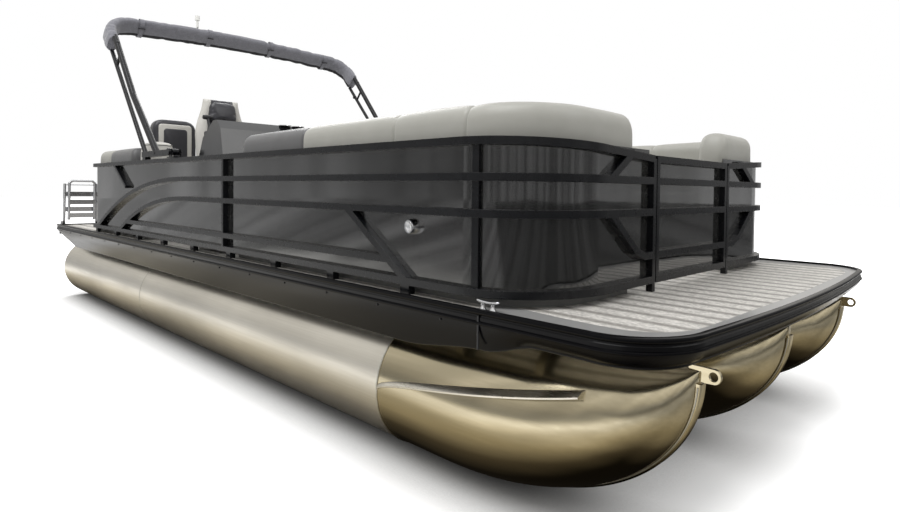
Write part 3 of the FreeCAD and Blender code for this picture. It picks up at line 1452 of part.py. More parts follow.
def add_bracket():
    """Swivel bracket: sleeve on the tilt pin and upright tube for the steering shaft."""
    px, pz = MOTOR_PIVOT.x, MOTOR_PIVOT.z
    half, pin, shaft = size("clamp_half"), size("motor_pin"), size("motor_shaft")
    sleeve_half = half - pin / 2
    tube_length = size("plate_drop") - size("clamp_low")
    pieces = [
        Part.makeCylinder(2 * pin - 2, 2 * sleeve_half, Vector(px, -sleeve_half, pz), AXIS_Y),
        box(STEER_X, px, -2 * pin, 2 * pin, pz - 2 * pin + 2, pz + 2 * pin - 2),
        Part.makeCylinder(shaft + pin, tube_length, Vector(STEER_X, 0, pz - tube_length + shaft), AXIS_Z),
    ]
    bracket = fused(pieces)
    for bore in (Part.makeCylinder(pin + FIT, 4 * half, Vector(px, -2 * half, pz), AXIS_Y),
                 Part.makeCylinder(shaft + FIT, 4 * tube_length, Vector(STEER_X, 0, pz - 2 * tube_length), AXIS_Z)):
        bracket = bracket.cut(bore)
    shaped("motor_bracket", tilted(bracket))
    return pz + shaft, pz - tube_length + shaft


def add_leg(tube_top, tube_low):
    """Steering shaft, mounts, leg, plate over the propeller, gear housing and skeg."""
    pz = MOTOR_PIVOT.z
    half, shaft, gear = size("leg_half"), size("motor_shaft"), size("gear_radius")
    side_gap = 6
    mount = 2 * shaft - side_gap
    back = STEER_X - 4 * half - shaft
    blade_top = PLATE_Z + side_gap
    shaft_back = STEER_X - 2 * shaft
    top_mount = tube_top + side_gap
    outline = [(shaft_back, top_mount + shaft / 2), (back, top_mount + shaft / 2), (back + shaft, pz - 4 * half),
               (back + half, blade_top), (STEER_X - half, blade_top), (shaft_back, tube_low - mount / 2)]
    pieces = [
        Part.makeCylinder(shaft, top_mount - tube_low + mount / 2, Vector(STEER_X, 0, tube_low - mount / 3), AXIS_Z),
        box(back, STEER_X + mount, -half, half, top_mount, top_mount + shaft),
        box(STEER_X - 3 * half, STEER_X + mount, -half, half, tube_low - side_gap - mount, tube_low - side_gap),
        plate_xz(outline, -half, half),
        box(back - 2 * shaft, STEER_X + shaft, -1.6 * half, 1.6 * half, PLATE_Z, PLATE_Z + 2 * side_gap),
        plate_xz([(STEER_X - half, blade_top), (STEER_X - 4 * half, blade_top), (STEER_X - 4 * half, GEAR_Z),
                  (STEER_X - half, GEAR_Z)], -half / 3, half / 3),
        rod(Vector(STEER_X - 5 * half, 0, GEAR_Z), Vector(STEER_X, 0, GEAR_Z), gear),
        Part.makeCone(gear, gear / 4, 2 * gear, Vector(STEER_X, 0, GEAR_Z), AXIS_X),
        plate_xz([(STEER_X - half, GEAR_Z), (STEER_X - 4 * half, GEAR_Z), (STEER_X - 3.5 * half, GEAR_Z - 3 * gear),
                  (STEER_X - 2.5 * half, GEAR_Z - 3.4 * gear)], -side_gap, side_gap),
    ]
    shaped("motor_leg", tilted(fused(pieces)))
    return top_mount + shaft


def cowl_block(low, inset):
    """Tapered hood with round corners, drawn in by an inset."""
    height = size("cowl_height")
    half = size("cowl_half")
    levels = ((0.0, -1.6, 0.6, 0.84), (0.3, -1.8, 0.75, 1.0), (0.75, -1.7, 0.6, 0.95), (1.0, -1.3, 0.1, 0.66))
    wires = []
    for up, back, ahead, wide in levels:
        z = low + up * (height - inset)
        wires.append(rounded_rectangle(STEER_X + back * half + inset, STEER_X + ahead * half - inset,
                                       wide * half - inset, half / 2.6 - inset, z))
    return Part.makeLoft(wires, True, True)


def rounded_rectangle(x_low, x_high, half, radius, z):
    """Level wire with round corners."""
    bend = radius * (1 - math.sqrt(0.5))
    edges = []
    last = None
    first = None
    for x, y, to_x, to_y in ((x_low, -half, 1, 1), (x_high, -half, -1, 1), (x_high, half, -1, -1), (x_low, half, 1, -1)):
        along = Vector(x + to_x * radius, y, z)
        across = Vector(x, y + to_y * radius, z)
        start, end = (across, along) if to_x == to_y else (along, across)
        if last is not None:
            edges.append(Part.makeLine(last, start))
        first = start if first is None else first
        edges.append(Part.Arc(start, Vector(x + to_x * bend, y + to_y * bend, z), end).toShape())
        last = end
    edges.append(Part.makeLine(last, first))
    return Part.Wire(edges)


def add_cowl(low):
    """Hollow cowl on the leg's top mount, with the engine as a plain block inside."""
    wall = size("cowl_wall")
    half = size("cowl_half")
    inner = cowl_block(low, wall)
    inner.translate(Vector(0, 0, wall))
    shaped("motor_cowl", tilted(cowl_block(low, 0).cut(inner)))
    engine = box(STEER_X - 1.3 * half, STEER_X + half / 3, -0.66 * half, 0.66 * half, low + wall,
                 low + 0.65 * size("cowl_height"))
    shaped("engine_block", tilted(engine))


def add_propeller():
    """Propeller with a hub and twisted blades."""
    hub_radius = size("prop_hub")
    hub_x = STEER_X - 5 * size("leg_half") - 1
    length = 2.3 * hub_radius
    hub = rod(Vector(hub_x - length, 0, GEAR_Z), Vector(hub_x, 0, GEAR_Z), hub_radius)
    stations = ((0.6 * hub_radius, 60, 62), (0.5 * size("prop_radius"), 100, 42), (0.83 * size("prop_radius"), 100, 30),
                (size("prop_radius"), 45, 24))
    blades = []
    for index in range(BLADES):
        wires = []
        for radius, chord, pitch in stations:
            turn = math.radians(pitch)
            along = Vector(math.cos(turn), math.sin(turn), 0) * (chord / 2)
            thick = Vector(-math.sin(turn), math.cos(turn), 0) * (hub_radius / 12)
            centre = Vector(hub_x - length / 2, 0, GEAR_Z + radius)
            corners = [centre - along, centre - thick, centre + along, centre + thick]
            wires.append(Part.makePolygon(corners + corners[:1]))
        blade = Part.makeLoft(wires, True, True)
        blade.rotate(Vector(hub_x, 0, GEAR_Z), AXIS_X, index * 360 / BLADES)
        blades.append(blade)
    shaped("propeller", tilted(fused([hub] + blades)))


add_clamp()
bracket_top, bracket_low = add_bracket()
add_cowl(add_leg(bracket_top, bracket_low))
add_propeller()


# Deck fittings
def cleat(place):
    """Mooring cleat: two feet and a round bar."""
    height = size("cleat_height")
    half = size("cleat_length") / 2
    foot = height / 3
    feet = [box(way * half / 2 - foot, way * half / 2 + foot, -foot, foot, 0, height) for way in (-1, 1)]
    bar = rod(Vector(-half, 0, height), Vector(half, 0, height), foot / 1.3)
    return placed(fused(feet + [bar]), place, 0)


def add_cleats():
    """Cleats at the bow corners and the stern corners."""
    y = DECK_HALF - size("cleat_edge")
    stern_y = FENCE - size("lounge_depth") / 2
    places = [Vector(GATE - size("cleat_bow"), side * y, DECK) for side in SIDES]
    places += [Vector(STERN + size("cleat_stern"), side * stern_y, DECK) for side in SIDES]
    shaped("cleats", Part.makeCompound([cleat(place) for place in places]))


add_cleats()


def docking_light(side):
    """Round docking light that stands on the fence's sheet near the bow."""
    place = Vector(GATE - size("light_x"), side * (FENCE - RAIL / 2), THIRD_Z - size("light_drop"))
    return Part.makeCylinder(size("light_radius"), RAIL + size("light_stand"), place, AXIS_Y * side)


shaped("docking_lights", Part.makeCompound([docking_light(side) for side in SIDES]))

document.recompute()
for item in document.Objects:
    if "Invalid" in item.State or "Error" in item.State:
        raise RuntimeError(f"{item.Label} failed: {item.State}")
for item in nodes:
    if item.Shape.isNull() or not item.Shape.isValid():
        raise RuntimeError(f"{item.Label} has no valid shape")

os.makedirs("parts", exist_ok=True)
for item in nodes:
    item.Shape.exportStep(os.path.join("parts", f"{item.Label}.step"))
print(len(nodes), "sub-parts written")
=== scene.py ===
import logging
import random
from dataclasses import dataclass
from enum import Enum
from functools import partial
from math import acos, copysign, cos, exp, pi, radians, sin, sqrt, tan
from typing import Callable, Optional, Sequence, Union

import bmesh
import bpy
from mathutils import Matrix, Vector, noise


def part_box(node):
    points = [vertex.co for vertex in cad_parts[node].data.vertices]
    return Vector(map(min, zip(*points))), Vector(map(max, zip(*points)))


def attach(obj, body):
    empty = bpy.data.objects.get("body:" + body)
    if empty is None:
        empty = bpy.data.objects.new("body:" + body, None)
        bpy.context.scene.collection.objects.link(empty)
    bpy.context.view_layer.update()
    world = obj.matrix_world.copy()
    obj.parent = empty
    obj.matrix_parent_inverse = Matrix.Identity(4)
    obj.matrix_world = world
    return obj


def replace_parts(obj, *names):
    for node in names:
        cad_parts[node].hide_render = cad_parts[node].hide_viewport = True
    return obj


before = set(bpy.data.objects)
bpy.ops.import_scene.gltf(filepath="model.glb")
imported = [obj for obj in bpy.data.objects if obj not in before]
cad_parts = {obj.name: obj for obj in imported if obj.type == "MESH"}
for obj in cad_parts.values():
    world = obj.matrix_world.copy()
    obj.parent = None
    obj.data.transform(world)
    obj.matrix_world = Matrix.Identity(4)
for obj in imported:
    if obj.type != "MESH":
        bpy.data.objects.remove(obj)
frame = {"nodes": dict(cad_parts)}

LOG = logging.getLogger("pontoon_boat")
Point = tuple[float, float, float]
Plan = tuple[float, float]
Stops = Sequence[tuple[float, str]]
Tree = bpy.types.NodeTree
Socket = bpy.types.NodeSocket
Mesh = bpy.types.Mesh
Adder = Callable[..., bpy.types.Node]
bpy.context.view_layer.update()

# Settings of the cushions' cloth simulations
AIR_PRESSURE, CLOTH_QUALITY, CLOTH_FRAMES = 4.0, 5, 20

UP, ACROSS, AHEAD = Vector((0, 0, 1)), Vector((0, 1, 0)), Vector((1, 0, 0))

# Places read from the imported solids, in metres
DECK_X, DECK_Y, DECK_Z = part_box("deck")[1]
BOW_X, INSIDE_Y, BACK_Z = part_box("bow_backrests")[1]
SEAT_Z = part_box("bow_lounge_bases")[1].z
CUSHION_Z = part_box("bow_seat_cushions")[1].z
FENCE_Y = sum(corner.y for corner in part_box("side_gate_panel")) / 2
TUBE_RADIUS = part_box("pontoon_centre")[1].z / 2
TUBE_Y = sum(corner.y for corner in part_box("pontoon_port")) / 2
TOW_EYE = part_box("pontoon_port")[1]
LIP_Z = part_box("bow_fascia")[1].z
CHAIR_X, CHAIR_Y = (sum(corner[axis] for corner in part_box("chair_pedestal")) / 2 for axis in (0, 1))
CHAIR_LOW, CHAIR_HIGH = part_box("chair_back")


class Side(Enum):
    """Side of the boat, with the sign of its Y."""

    STARBOARD = -1
    PORT = 1

    @property
    def word(self) -> str:
        """Return the side as names of pieces spell it."""
        return self.name.lower()


class Body(Enum):
    """Bodies that pieces ride on."""

    HULL = "hull"
    TOWER = "tower"
    CHAIR = "helm_chair"
    WHEEL = "wheel"
    MOTOR = "motor"
    LADDER = "ladder"
    EXTENSION = "ladder_extension"
    BOW_GATE = "bow_gate"
    SIDE_GATE = "side_gate"
    STERN_GATE = "stern_gate"


def linear(hex_colour: str) -> tuple[float, float, float, float]:
    """Turn an sRGB hex colour into linear RGBA with full alpha."""
    parts = [int(hex_colour[i:i + 2], 16) / 255 for i in (1, 3, 5)]
    red, green, blue = (c / 12.92 if c <= 0.04045 else ((c + 0.055) / 1.055) ** 2.4 for c in parts)
    return red, green, blue, 1.0


def add_node(tree: Tree, kind: str, settings: Optional[dict] = None,
             links: Optional[dict] = None) -> bpy.types.Node:
    """Add a shader node with its settings and links.

    Args:
        tree: node tree that gets it.
        kind: Blender's name for the node's type, without its first word.
        settings: attributes, or values of inputs by name or number.
        links: output sockets that feed its inputs, by name or number.

    Returns:
        The new node.
    """
    node = tree.nodes.new("ShaderNode" + kind)
    for key, value in (settings or {}).items():
        if isinstance(key, str) and hasattr(node, key):
            setattr(node, key, value)
        else:
            node.inputs[key].default_value = value
    for key, socket in (links or {}).items():
        tree.links.new(socket, node.inputs[key])
    return node


def vec(*values: float) -> Vector:
    """Return a vector of its values."""
    return Vector(values)


def turns(count: int) -> list[float]:
    """Return the angles that divide a full turn evenly."""
    return [2 * pi * k / count for k in range(count)]


def squared(value: float, power: float) -> float:
    """Return a sine or cosine to a power, with its sign, which makes a round section squarer."""
    return copysign(abs(value) ** power, value)


def mirrored(point: Vector) -> Vector:
    """Return a point on the other side of the boat."""
    return vec(point.x, -point.y, point.z)


@dataclass(frozen=True)
class Mottle:
    """A noise that varies a finish: its grain size in millimetres and its stretch along each axis."""

    grain_mm: float
    stretch: Point = (1.0, 1.0, 1.0)
    detail: float = 3.0
    roughness: float = 0.5


@dataclass(frozen=True)
class Finish:
    """One real surface: what it is made of, how it was made, and what that shows."""

    name: str
    colour: str
    second: str
    roughness: float
    mottle: Mottle
    rough_swing: float = 0.06
    bump: Mottle = Mottle(2.0)
    bump_mm: float = 0.0
    metallic: float = 0.0
    ior: float = 1.5
    coat: float = 0.0
    coat_roughness: float = 0.05
    sheen: float = 0.0
    transmission: float = 0.0
    alpha: float = 1.0
    edge_mm: float = 0.0

    def material(self) -> bpy.types.Material:
        """Build this finish once and return its material."""
        found = bpy.data.materials.get(self.name)
        if found:
            return found
        made = bpy.data.materials.new(self.name)
        made.use_nodes = True
        tree = made.node_tree
        add = partial(add_node, tree)
        shader = tree.nodes["Principled BSDF"]
        place = add("TexCoord").outputs["Object"]
        colour_noise = self.noise(add, place, self.mottle)
        colour = add("Mix", {"data_type": "RGBA", 6: linear(self.colour), 7: linear(self.second)},
                     {0: colour_noise}).outputs[2]
        colour = self.pattern(add, place, colour)
        tree.links.new(colour, shader.inputs["Base Color"])
        rough = add("MapRange", {3: max(0.02, self.roughness - self.rough_swing),
                                 4: self.roughness + self.rough_swing}, {0: colour_noise}).outputs[0]
        tree.links.new(rough, shader.inputs["Roughness"])
        normal = None
        if self.edge_mm:
            normal = add("Bevel", {"samples": 3, "Radius": self.edge_mm / 1000}).outputs[0]
            tree.links.new(normal, shader.inputs["Normal"])
        height = self.relief(add, place)
        if height is not None:
            links = {"Height": height, "Normal": normal} if normal else {"Height": height}
            bump = add("Bump", {"Strength": 1.0, "Distance": self.bump_mm / 1000}, links)
            tree.links.new(bump.outputs[0], shader.inputs["Normal"])
        for socket, value in (("Metallic", self.metallic), ("IOR", self.ior), ("Coat Weight", self.coat),
                              ("Coat Roughness", self.coat_roughness), ("Sheen Weight", self.sheen),
                              ("Transmission Weight", self.transmission), ("Alpha", self.alpha)):
            shader.inputs[socket].default_value = value
        made.diffuse_color = linear(self.colour)
        return made

    @staticmethod
    def noise(add: Adder, place: Socket, mottle: Mottle) -> Socket:
        """Add a noise whose scale comes from its grain in millimetres, and return its value."""
        mapped = add("Mapping", {"Scale": mottle.stretch}, {"Vector": place}).outputs[0]
        return add("TexNoise", {"Scale": 1000 / mottle.grain_mm, "Detail": mottle.detail,
                                "Roughness": mottle.roughness}, {"Vector": mapped}).outputs[0]

    def pattern(self, add: Adder, place: Socket, colour: Socket) -> Socket:
        """Return the colour unchanged; a patterned finish draws over it."""
        return colour

    def relief(self, add: Adder, place: Socket) -> Optional[Socket]:
        """Return the height that the bump follows, or None for a smooth finish."""
        return self.noise(add, place, self.bump) if self.bump_mm else None


@dataclass(frozen=True)
class LeatherGrain(Finish):
    """Vinyl with an embossed leather grain: rounded pebbles with creases between them."""

    pebble_mm: float = 3.0

    def relief(self, add: Adder, place: Socket) -> Optional[Socket]:
        """Return pebbles with a fine noise between them."""
        cells = add("TexVoronoi", {"Scale": 1000 / self.pebble_mm, "feature": "SMOOTH_F1"},
                    {"Vector": place}).outputs["Distance"]
        fine = self.noise(add, place, Mottle(self.pebble_mm / 2))
        return add("Math", {"operation": "MULTIPLY_ADD", 1: 0.35}, {0: fine, 2: cells}).outputs[0]


@dataclass(frozen=True)
class Woven(Finish):
    """Cloth or woven vinyl: crossing threads at a real spacing."""

    thread_mm: float = 1.2
    fleck: float = 0.55
    stripe_mm: float = 0.0
    stripe_dark: str = "#000000"

    def threads(self, add: Adder, place: Socket) -> Socket:
        """Return the height of the crossing threads."""
        waves = [
            add("TexWave", {"bands_direction": way, "Scale": 1000 / self.thread_mm / 6.28, "Distortion": 0.6},
                {"Vector": place}).outputs["Fac"] for way in ("X", "Y")]
        return add("Math", {"operation": "MAXIMUM"}, {0: waves[0], 1: waves[1]}).outputs[0]

    def pattern(self, add: Adder, place: Socket, colour: Socket) -> Socket:
        """Draw flecks of thread and, where the cloth has them, stripes along X."""
        fleck = self.noise(add, place, Mottle(self.thread_mm * 2.5, (0.6, 1.0, 1.0), 2.0, 0.7))
        fleck = add("MapRange", {1: 0.36, 2: 0.64}, {0: fleck}).outputs[0]
        colour = add("Mix", {"data_type": "RGBA", "blend_type": "MULTIPLY", 0: self.fleck},
                     {6: colour, 7: fleck}).outputs[2]
        if not self.stripe_mm:
            return colour
        across = add("SeparateXYZ", {}, {0: place}).outputs["Y"]
        wobble = self.noise(add, place, Mottle(60, (0.2, 1.0, 1.0)))
        shifted = add("Math", {"operation": "MULTIPLY_ADD", 1: 0.006}, {0: wobble, 2: across}).outputs[0]
        phase = add("Math", {"operation": "MULTIPLY", 1: 2000 * pi / self.stripe_mm}, {0: shifted}).outputs[0]
        wave = add("Math", {"operation": "SINE"}, {0: phase}).outputs[0]
        dark = add("MapRange", {1: 0.05, 2: 0.9, 3: 0.0, 4: 0.62}, {0: wave}).outputs[0]
        return add("Mix", {"data_type": "RGBA", 7: linear(self.stripe_dark)}, {0: dark, 6: colour}).outputs[2]

    def relief(self, add: Adder, place: Socket) -> Optional[Socket]:
        """Return the threads."""
        return self.threads(add, place)


@dataclass(frozen=True)
class BrushedSheet(Finish):
    """Aluminium sheet with fine brushing, cloudy patches and, where it was formed, long shallow ripples."""

    haze_colour: str = "#a5a198"
    haze: float = 0.35
    ripple: float = 0.0

    def pattern(self, add: Adder, place: Socket, colour: Socket) -> Socket:
        """Cloud the sheet with duller patches."""
        cloud = self.noise(add, place, Mottle(420, (0.5, 1.0, 1.0)))
        cloud = add("MapRange", {1: 0.35, 2: 0.7, 3: 0.0, 4: self.haze}, {0: cloud}).outputs[0]
        return add("Mix", {"data_type": "RGBA", 7: linear(self.haze_colour)},
                   {0: cloud, 6: colour}).outputs[2]

    def relief(self, add: Adder, place: Socket) -> Optional[Socket]:
        """Return fine brushing over long forming ripples."""
        broad = self.noise(add, place, Mottle(110, (0.08, 1.0, 1.0), 1.0))
        fine = self.noise(add, place, self.bump)
        return add("Math", {"operation": "MULTIPLY_ADD", 1: self.ripple}, {0: broad, 2: fine}).outputs[0]


# Marine aluminium sheet, rolled and brushed: long fine streaks along the tube and cloudy patches
TUBE = BrushedSheet("rolled_brushed_aluminium", "#ebe7dd", "#d8d3c7", 0.33, Mottle(9, (0.02, 1.0, 1.0), 4.0),
                    rough_swing=0.09, bump=Mottle(3, (0.01, 1.0, 1.0)), bump_mm=0.05, metallic=0.85)
# The same alloy, stretch-formed and buffed on the nosecones: sharper reflections in long wavy streaks
NOSE = BrushedSheet("buffed_formed_aluminium", "#c3b99f", "#b3a98e", 0.19, Mottle(14, (0.02, 1.0, 1.0), 4.0),
                    rough_swing=0.05, bump=Mottle(3, (0.01, 1.0, 1.0)), bump_mm=0.05, metallic=1.0, haze=0.2,
                    haze_colour="#948970", ripple=90.0)
# Extruded aluminium as it leaves the mill: an even dull grey
MILL = Finish("mill_finish_aluminium", "#9b9a96", "#84827d", 0.42, Mottle(40), metallic=1.0)
# The same sheet, folded and freshly brushed, on the lifting strakes: a little brighter
MILL_BRIGHT = Finish("brushed_folded_aluminium", "#d9d5cb", "#c4bfb3", 0.26, Mottle(10, (0.03, 1.0, 1.0)),
                     bump=Mottle(3, (0.02, 1.0, 1.0)), bump_mm=0.04, metallic=1.0, edge_mm=2.0)
# Weld bead: bright ripples, rougher than the sheet beside it
WELD = Finish("aluminium_weld_bead", "#d8d6cf", "#a9a69d", 0.34, Mottle(6), bump=Mottle(5), bump_mm=0.6,
              metallic=1.0)
# Powder coat on extrusions: satin charcoal with a faint orange peel and softly rounded edges
POWDER = Finish("satin_charcoal_powder_coat", "#0d0e11", "#131417", 0.28, Mottle(60), bump=Mottle(1.6),
                bump_mm=0.03, ior=1.32, coat=0.12, coat_roughness=0.12, edge_mm=4.0)
# Anodised black rub rail: darker, with a sharp low gleam along the ridges
SKIRT = Finish("black_anodised_extrusion", "#040406", "#07070a", 0.24, Mottle(80, (0.1, 1, 1)),
               bump=Mottle(2.2), bump_mm=0.02, ior=1.20, coat=0.05, coat_roughness=0.06)
# Cast acrylic sheet, smoked and polished: dark, glossy, a little light passes through
SMOKE = Finish("smoked_acrylic_sheet", "#2b2b2a", "#222222", 0.05, Mottle(300), rough_swing=0.02,
               bump=Mottle(420), bump_mm=1.6, ior=1.6, coat=1.0, coat_roughness=0.02, alpha=0.86)
# Woven vinyl flooring: twisted yarns in pale grey-beige, with darker bands woven in lengthwise
FLOORING = Woven("woven_vinyl_flooring", "#efece6", "#cfcbc4", 0.60, Mottle(7, (0.4, 1.0, 1.0), 4.0),
                 bump_mm=0.6, thread_mm=5.0, stripe_mm=112.0, stripe_dark="#5d5852", fleck=0.38)
# Smooth edge band of the same vinyl
BAND = Finish("smooth_vinyl_edge_band", "#8f8f8f", "#9c9b99", 0.35, Mottle(30), bump=Mottle(1.5),
              bump_mm=0.04, coat=0.3)
# Marine vinyl, light grey: soft sheen over an embossed leather grain
LIGHT_VINYL = LeatherGrain("light_grey_marine_vinyl", "#a9a8a1", "#9f9e96", 0.46, Mottle(90), bump_mm=0.25,
                           coat=0.12, coat_roughness=0.3, sheen=0.12)
# Marine vinyl, pale: the side bolsters of the helm chair
PALE_VINYL = LeatherGrain("pale_marine_vinyl", "#d2d0ca", "#c8c5be", 0.44, Mottle(90), bump_mm=0.25,
                          coat=0.12, coat_roughness=0.3, sheen=0.12)
# Marine vinyl, charcoal
DARK_VINYL = LeatherGrain("charcoal_marine_vinyl", "#5c5c5d", "#525253", 0.44, Mottle(90), bump_mm=0.25,
                          coat=0.15, coat_roughness=0.25, sheen=0.12)
# Marine vinyl, near black, for stitched inserts
INSERT_VINYL = LeatherGrain("black_stitched_vinyl", "#34343a", "#2b2b30", 0.40, Mottle(60), bump_mm=0.2,
                            coat=0.2, coat_roughness=0.25)
# Piping cord covered in vinyl
PIPING = Finish("vinyl_piping", "#8d8d88", "#7d7d79", 0.42, Mottle(12), bump=Mottle(1.2), bump_mm=0.08)
# Acrylic canvas of the folded canopy: solution-dyed, matt, with a fine weave
CANVAS = Woven("acrylic_canvas", "#8e8e95", "#7c7c83", 0.86, Mottle(35), bump_mm=0.35, thread_mm=2.6,
               fleck=0.3, sheen=0.35)
# The same canvas, darker, on the sleeve's lower rear face: painted shade
CANVAS_PAINTED_SHADE = Woven("acrylic_canvas_underside", "#39393d", "#2e2e32", 0.88, Mottle(35), bump_mm=0.35,
                    thread_mm=2.6)
# Rotomoulded polyethylene: light grey with a pebbled skin
POLY = Finish("rotomoulded_polyethylene", "#7f7f7d", "#747472", 0.55, Mottle(50), bump=Mottle(2.4),
              bump_mm=0.18)
# Gelcoat over fibreglass: charcoal, with a clear gloss
GELCOAT = Finish("charcoal_gelcoat", "#17181b", "#131417", 0.22, Mottle(90), bump=Mottle(30), bump_mm=0.05,
                 coat=0.8, coat_roughness=0.06)
# Soft-touch polyurethane on the wheel rim
GRIP = LeatherGrain("polyurethane_grip", "#1b1b1d", "#232326", 0.55, Mottle(15), bump_mm=0.15, pebble_mm=1.6)
# Stainless steel, polished: mirror bright with faint swirls
STEEL = Finish("polished_stainless_steel", "#d9dadc", "#c9cacd", 0.12, Mottle(14), rough_swing=0.06,
               metallic=1.0)
# Stainless steel tube, brushed
BRUSHED_STEEL = Finish("brushed_stainless_steel", "#c4c5c8", "#b1b2b5", 0.26, Mottle(3, (1.0, 1.0, 0.06)),
                       metallic=1.0)
# Anodised aluminium casting of the chair's pedestal
PEDESTAL = Finish("satin_anodised_aluminium", "#a3a4a7", "#94959a", 0.32, Mottle(20), metallic=1.0)
# Marine enamel on the outboard's castings: dark, with a little orange peel
ENAMEL = Finish("black_marine_enamel", "#1c1d20", "#25262a", 0.30, Mottle(40), bump=Mottle(2.5), bump_mm=0.04,
                coat=0.5, coat_roughness=0.1, edge_mm=2.0)
# Painted composite hood
HOOD = Finish("gloss_painted_hood", "#191a1d", "#1f2024", 0.16, Mottle(120), bump=Mottle(60), bump_mm=0.05,
              coat=1.0, coat_roughness=0.04)
# EPDM rubber: treads, boots and seals
RUBBER = Finish("epdm_rubber", "#202021", "#29292a", 0.75, Mottle(12), bump=Mottle(1.8), bump_mm=0.2)
# Black polyamide mouldings: knobs, clips and caps
NYLON = Finish("black_polyamide", "#1f1f22", "#28282b", 0.48, Mottle(20), bump=Mottle(1.2), bump_mm=0.05)
# Cast iron of the engine block
IRON = Finish("cast_iron", "#55534f", "#484642", 0.65, Mottle(9), bump=Mottle(2.5), bump_mm=0.4, metallic=0.6)
# Clear polycarbonate lens
LENS = Finish("clear_polycarbonate", "#eef0f2", "#ffffff", 0.06, Mottle(40), rough_swing=0.02, ior=1.58,
              coat=0.6, transmission=0.85)
# Opal polycarbonate globe of the all-round light
OPAL = Finish("opal_polycarbonate", "#e9e9e4", "#f4f4f0", 0.25, Mottle(25), coat=0.4)
# Glass of the instruments, dark when off
GLASS = Finish("instrument_glass", "#08090b", "#0d0e11", 0.06, Mottle(80), rough_swing=0.02, coat=1.0,
               coat_roughness=0.03)
# White printing ink on dials
INK = Finish("dial_ink", "#e4e4e0", "#d6d6d2", 0.6, Mottle(10))


def linked(name: str, data: bpy.types.ID) -> bpy.types.Object:
    """Return a new object of the scene that shows some data."""
    made = bpy.data.objects.new(name, data)
    bpy.context.scene.collection.objects.link(made)
    return made


@dataclass
class Piece:
    """What every new piece needs: its name, body, finish and the record's slot."""

    name: str
    finishes: Sequence[Finish]
    slot: str
    body: Body = Body.HULL

    def place(self, shape: Union[Mesh, list[Mesh]], smooth_deg: float = 35.0) -> bpy.types.Object:
        """Put a mesh in the scene as this piece.

        Args:
            shape: its mesh, or meshes that are joined, in the row frame.
            smooth_deg: faces that meet at less than this angle shade smoothly.

        Returns:
            The new object.
        """
        mesh = joined(shape) if isinstance(shape, list) else shape
        made = linked(self.name, mesh)
        for finish in self.finishes:
            mesh.materials.append(finish.material())
        mesh.polygons.foreach_set("use_smooth", [True] * len(mesh.polygons))
        mesh.set_sharp_from_angle(angle=radians(smooth_deg))
        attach(made, self.body.value)
        LOG.info("piece %s: %d faces", self.name, len(mesh.polygons))
        return made


def mesh_from(verts: Sequence[Vector], faces: Sequence[Sequence[int]],
              indices: Optional[Sequence[int]] = None) -> Mesh:
    """Make a mesh with outward faces.

    Args:
        verts: vertices.
        faces: vertex numbers of each face.
        indices: material number of each face.

    Returns:
        The mesh.
    """
    mesh = bpy.data.meshes.new("shape")
    mesh.from_pydata([tuple(v) for v in verts], [], [tuple(f) for f in faces])
    if indices is not None:
        mesh.polygons.foreach_set("material_index", list(indices))
    work = bmesh.new()
    work.from_mesh(mesh)
    bmesh.ops.recalc_face_normals(work, faces=work.faces)
    work.to_mesh(mesh)
    work.free()
    return mesh


def skin(rings: Sequence[Sequence[Vector]], closed: bool = False,
         index_of: Optional[Callable[[int, int], int]] = None) -> Mesh:
    """Skin a row of closed rings with quads.

    Args:
        rings: rings of equally many points.
        closed: whether the last ring joins the first; else both ends are capped.
        index_of: gives the material number from a ring's and a point's number.

    Returns:
        The mesh.
    """
    count = len(rings[0])
    verts = [v for ring in rings for v in ring]
    faces, indices = [], []
    for i in range(len(rings) if closed else len(rings) - 1):
        j = (i + 1) % len(rings)
        for k in range(count):
            n = (k + 1) % count
            faces.append((i * count + k, i * count + n, j * count + n, j * count + k))
            indices.append(index_of(i, k) if index_of else 0)
    if not closed:
        for start in (0, (len(rings) - 1) * count):
            faces.append([start + k for k in range(count)])
            indices.append(index_of(0 if start == 0 else len(rings) - 2, 0) if index_of else 0)
    return mesh_from(verts, faces, indices)


def joined(meshes: Sequence[Mesh]) -> Mesh:
    """Join several meshes into one."""
    work = bmesh.new()
    for mesh in meshes:
        work.from_mesh(mesh)
    whole = bpy.data.meshes.new("shape")
    work.to_mesh(whole)
    work.free()
    return whole


def frame_along(points: Sequence[Vector], index: int, up: Vector) -> tuple[Vector, Vector]:
    """Return two directions square to a path at one of its points."""
    before, after = points[max(0, index - 1)], points[min(len(points) - 1, index + 1)]
    ahead = (after - before).normalized()
    side = ahead.cross(up)
    side = side.normalized() if side.length > 1e-6 else ahead.orthogonal().normalized()
    return side, side.cross(ahead).normalized()


def tube(points: Sequence[Vector], radius: float, sides: int = 12, closed: bool = False,
         up: Vector = UP) -> Mesh:
    """Make a round tube along a path.

    Args:
        points: the path.
        radius: the tube's radius.
        sides: how many sides it has.
        closed: whether it runs round to its start.
        up: a direction that the path doesn't follow.

    Returns:
        The mesh.
    """
    rings = []
    looped = [points[-1]] + list(points) + [points[0]] if closed else list(points)
    for i in range(len(points)):
        side, rise = frame_along(looped, i + 1 if closed else i, up)
        rings.append([points[i] + side * (radius * cos(a)) + rise * (radius * sin(a)) for a in turns(sides)])
    return skin(rings, closed)


def lathe(profile: Sequence[Plan], centre: Vector, axis: Vector, sides: int = 32) -> Mesh:
    """Turn a profile round an axis.

    Args:
        profile: (radius, distance along the axis) pairs, from one end to the other.
        centre: where the distance is 0.
        axis: direction of the axis.
        sides: how many sides it has.

    Returns:
        The mesh.
    """
    axis = axis.normalized()
    side = axis.orthogonal().normalized()
    other = axis.cross(side)
    rings = [[centre + axis * along + (side * cos(a) + other * sin(a)) * max(radius, 1e-5)
              for a in turns(sides)] for radius, along in profile]
    return skin(rings)


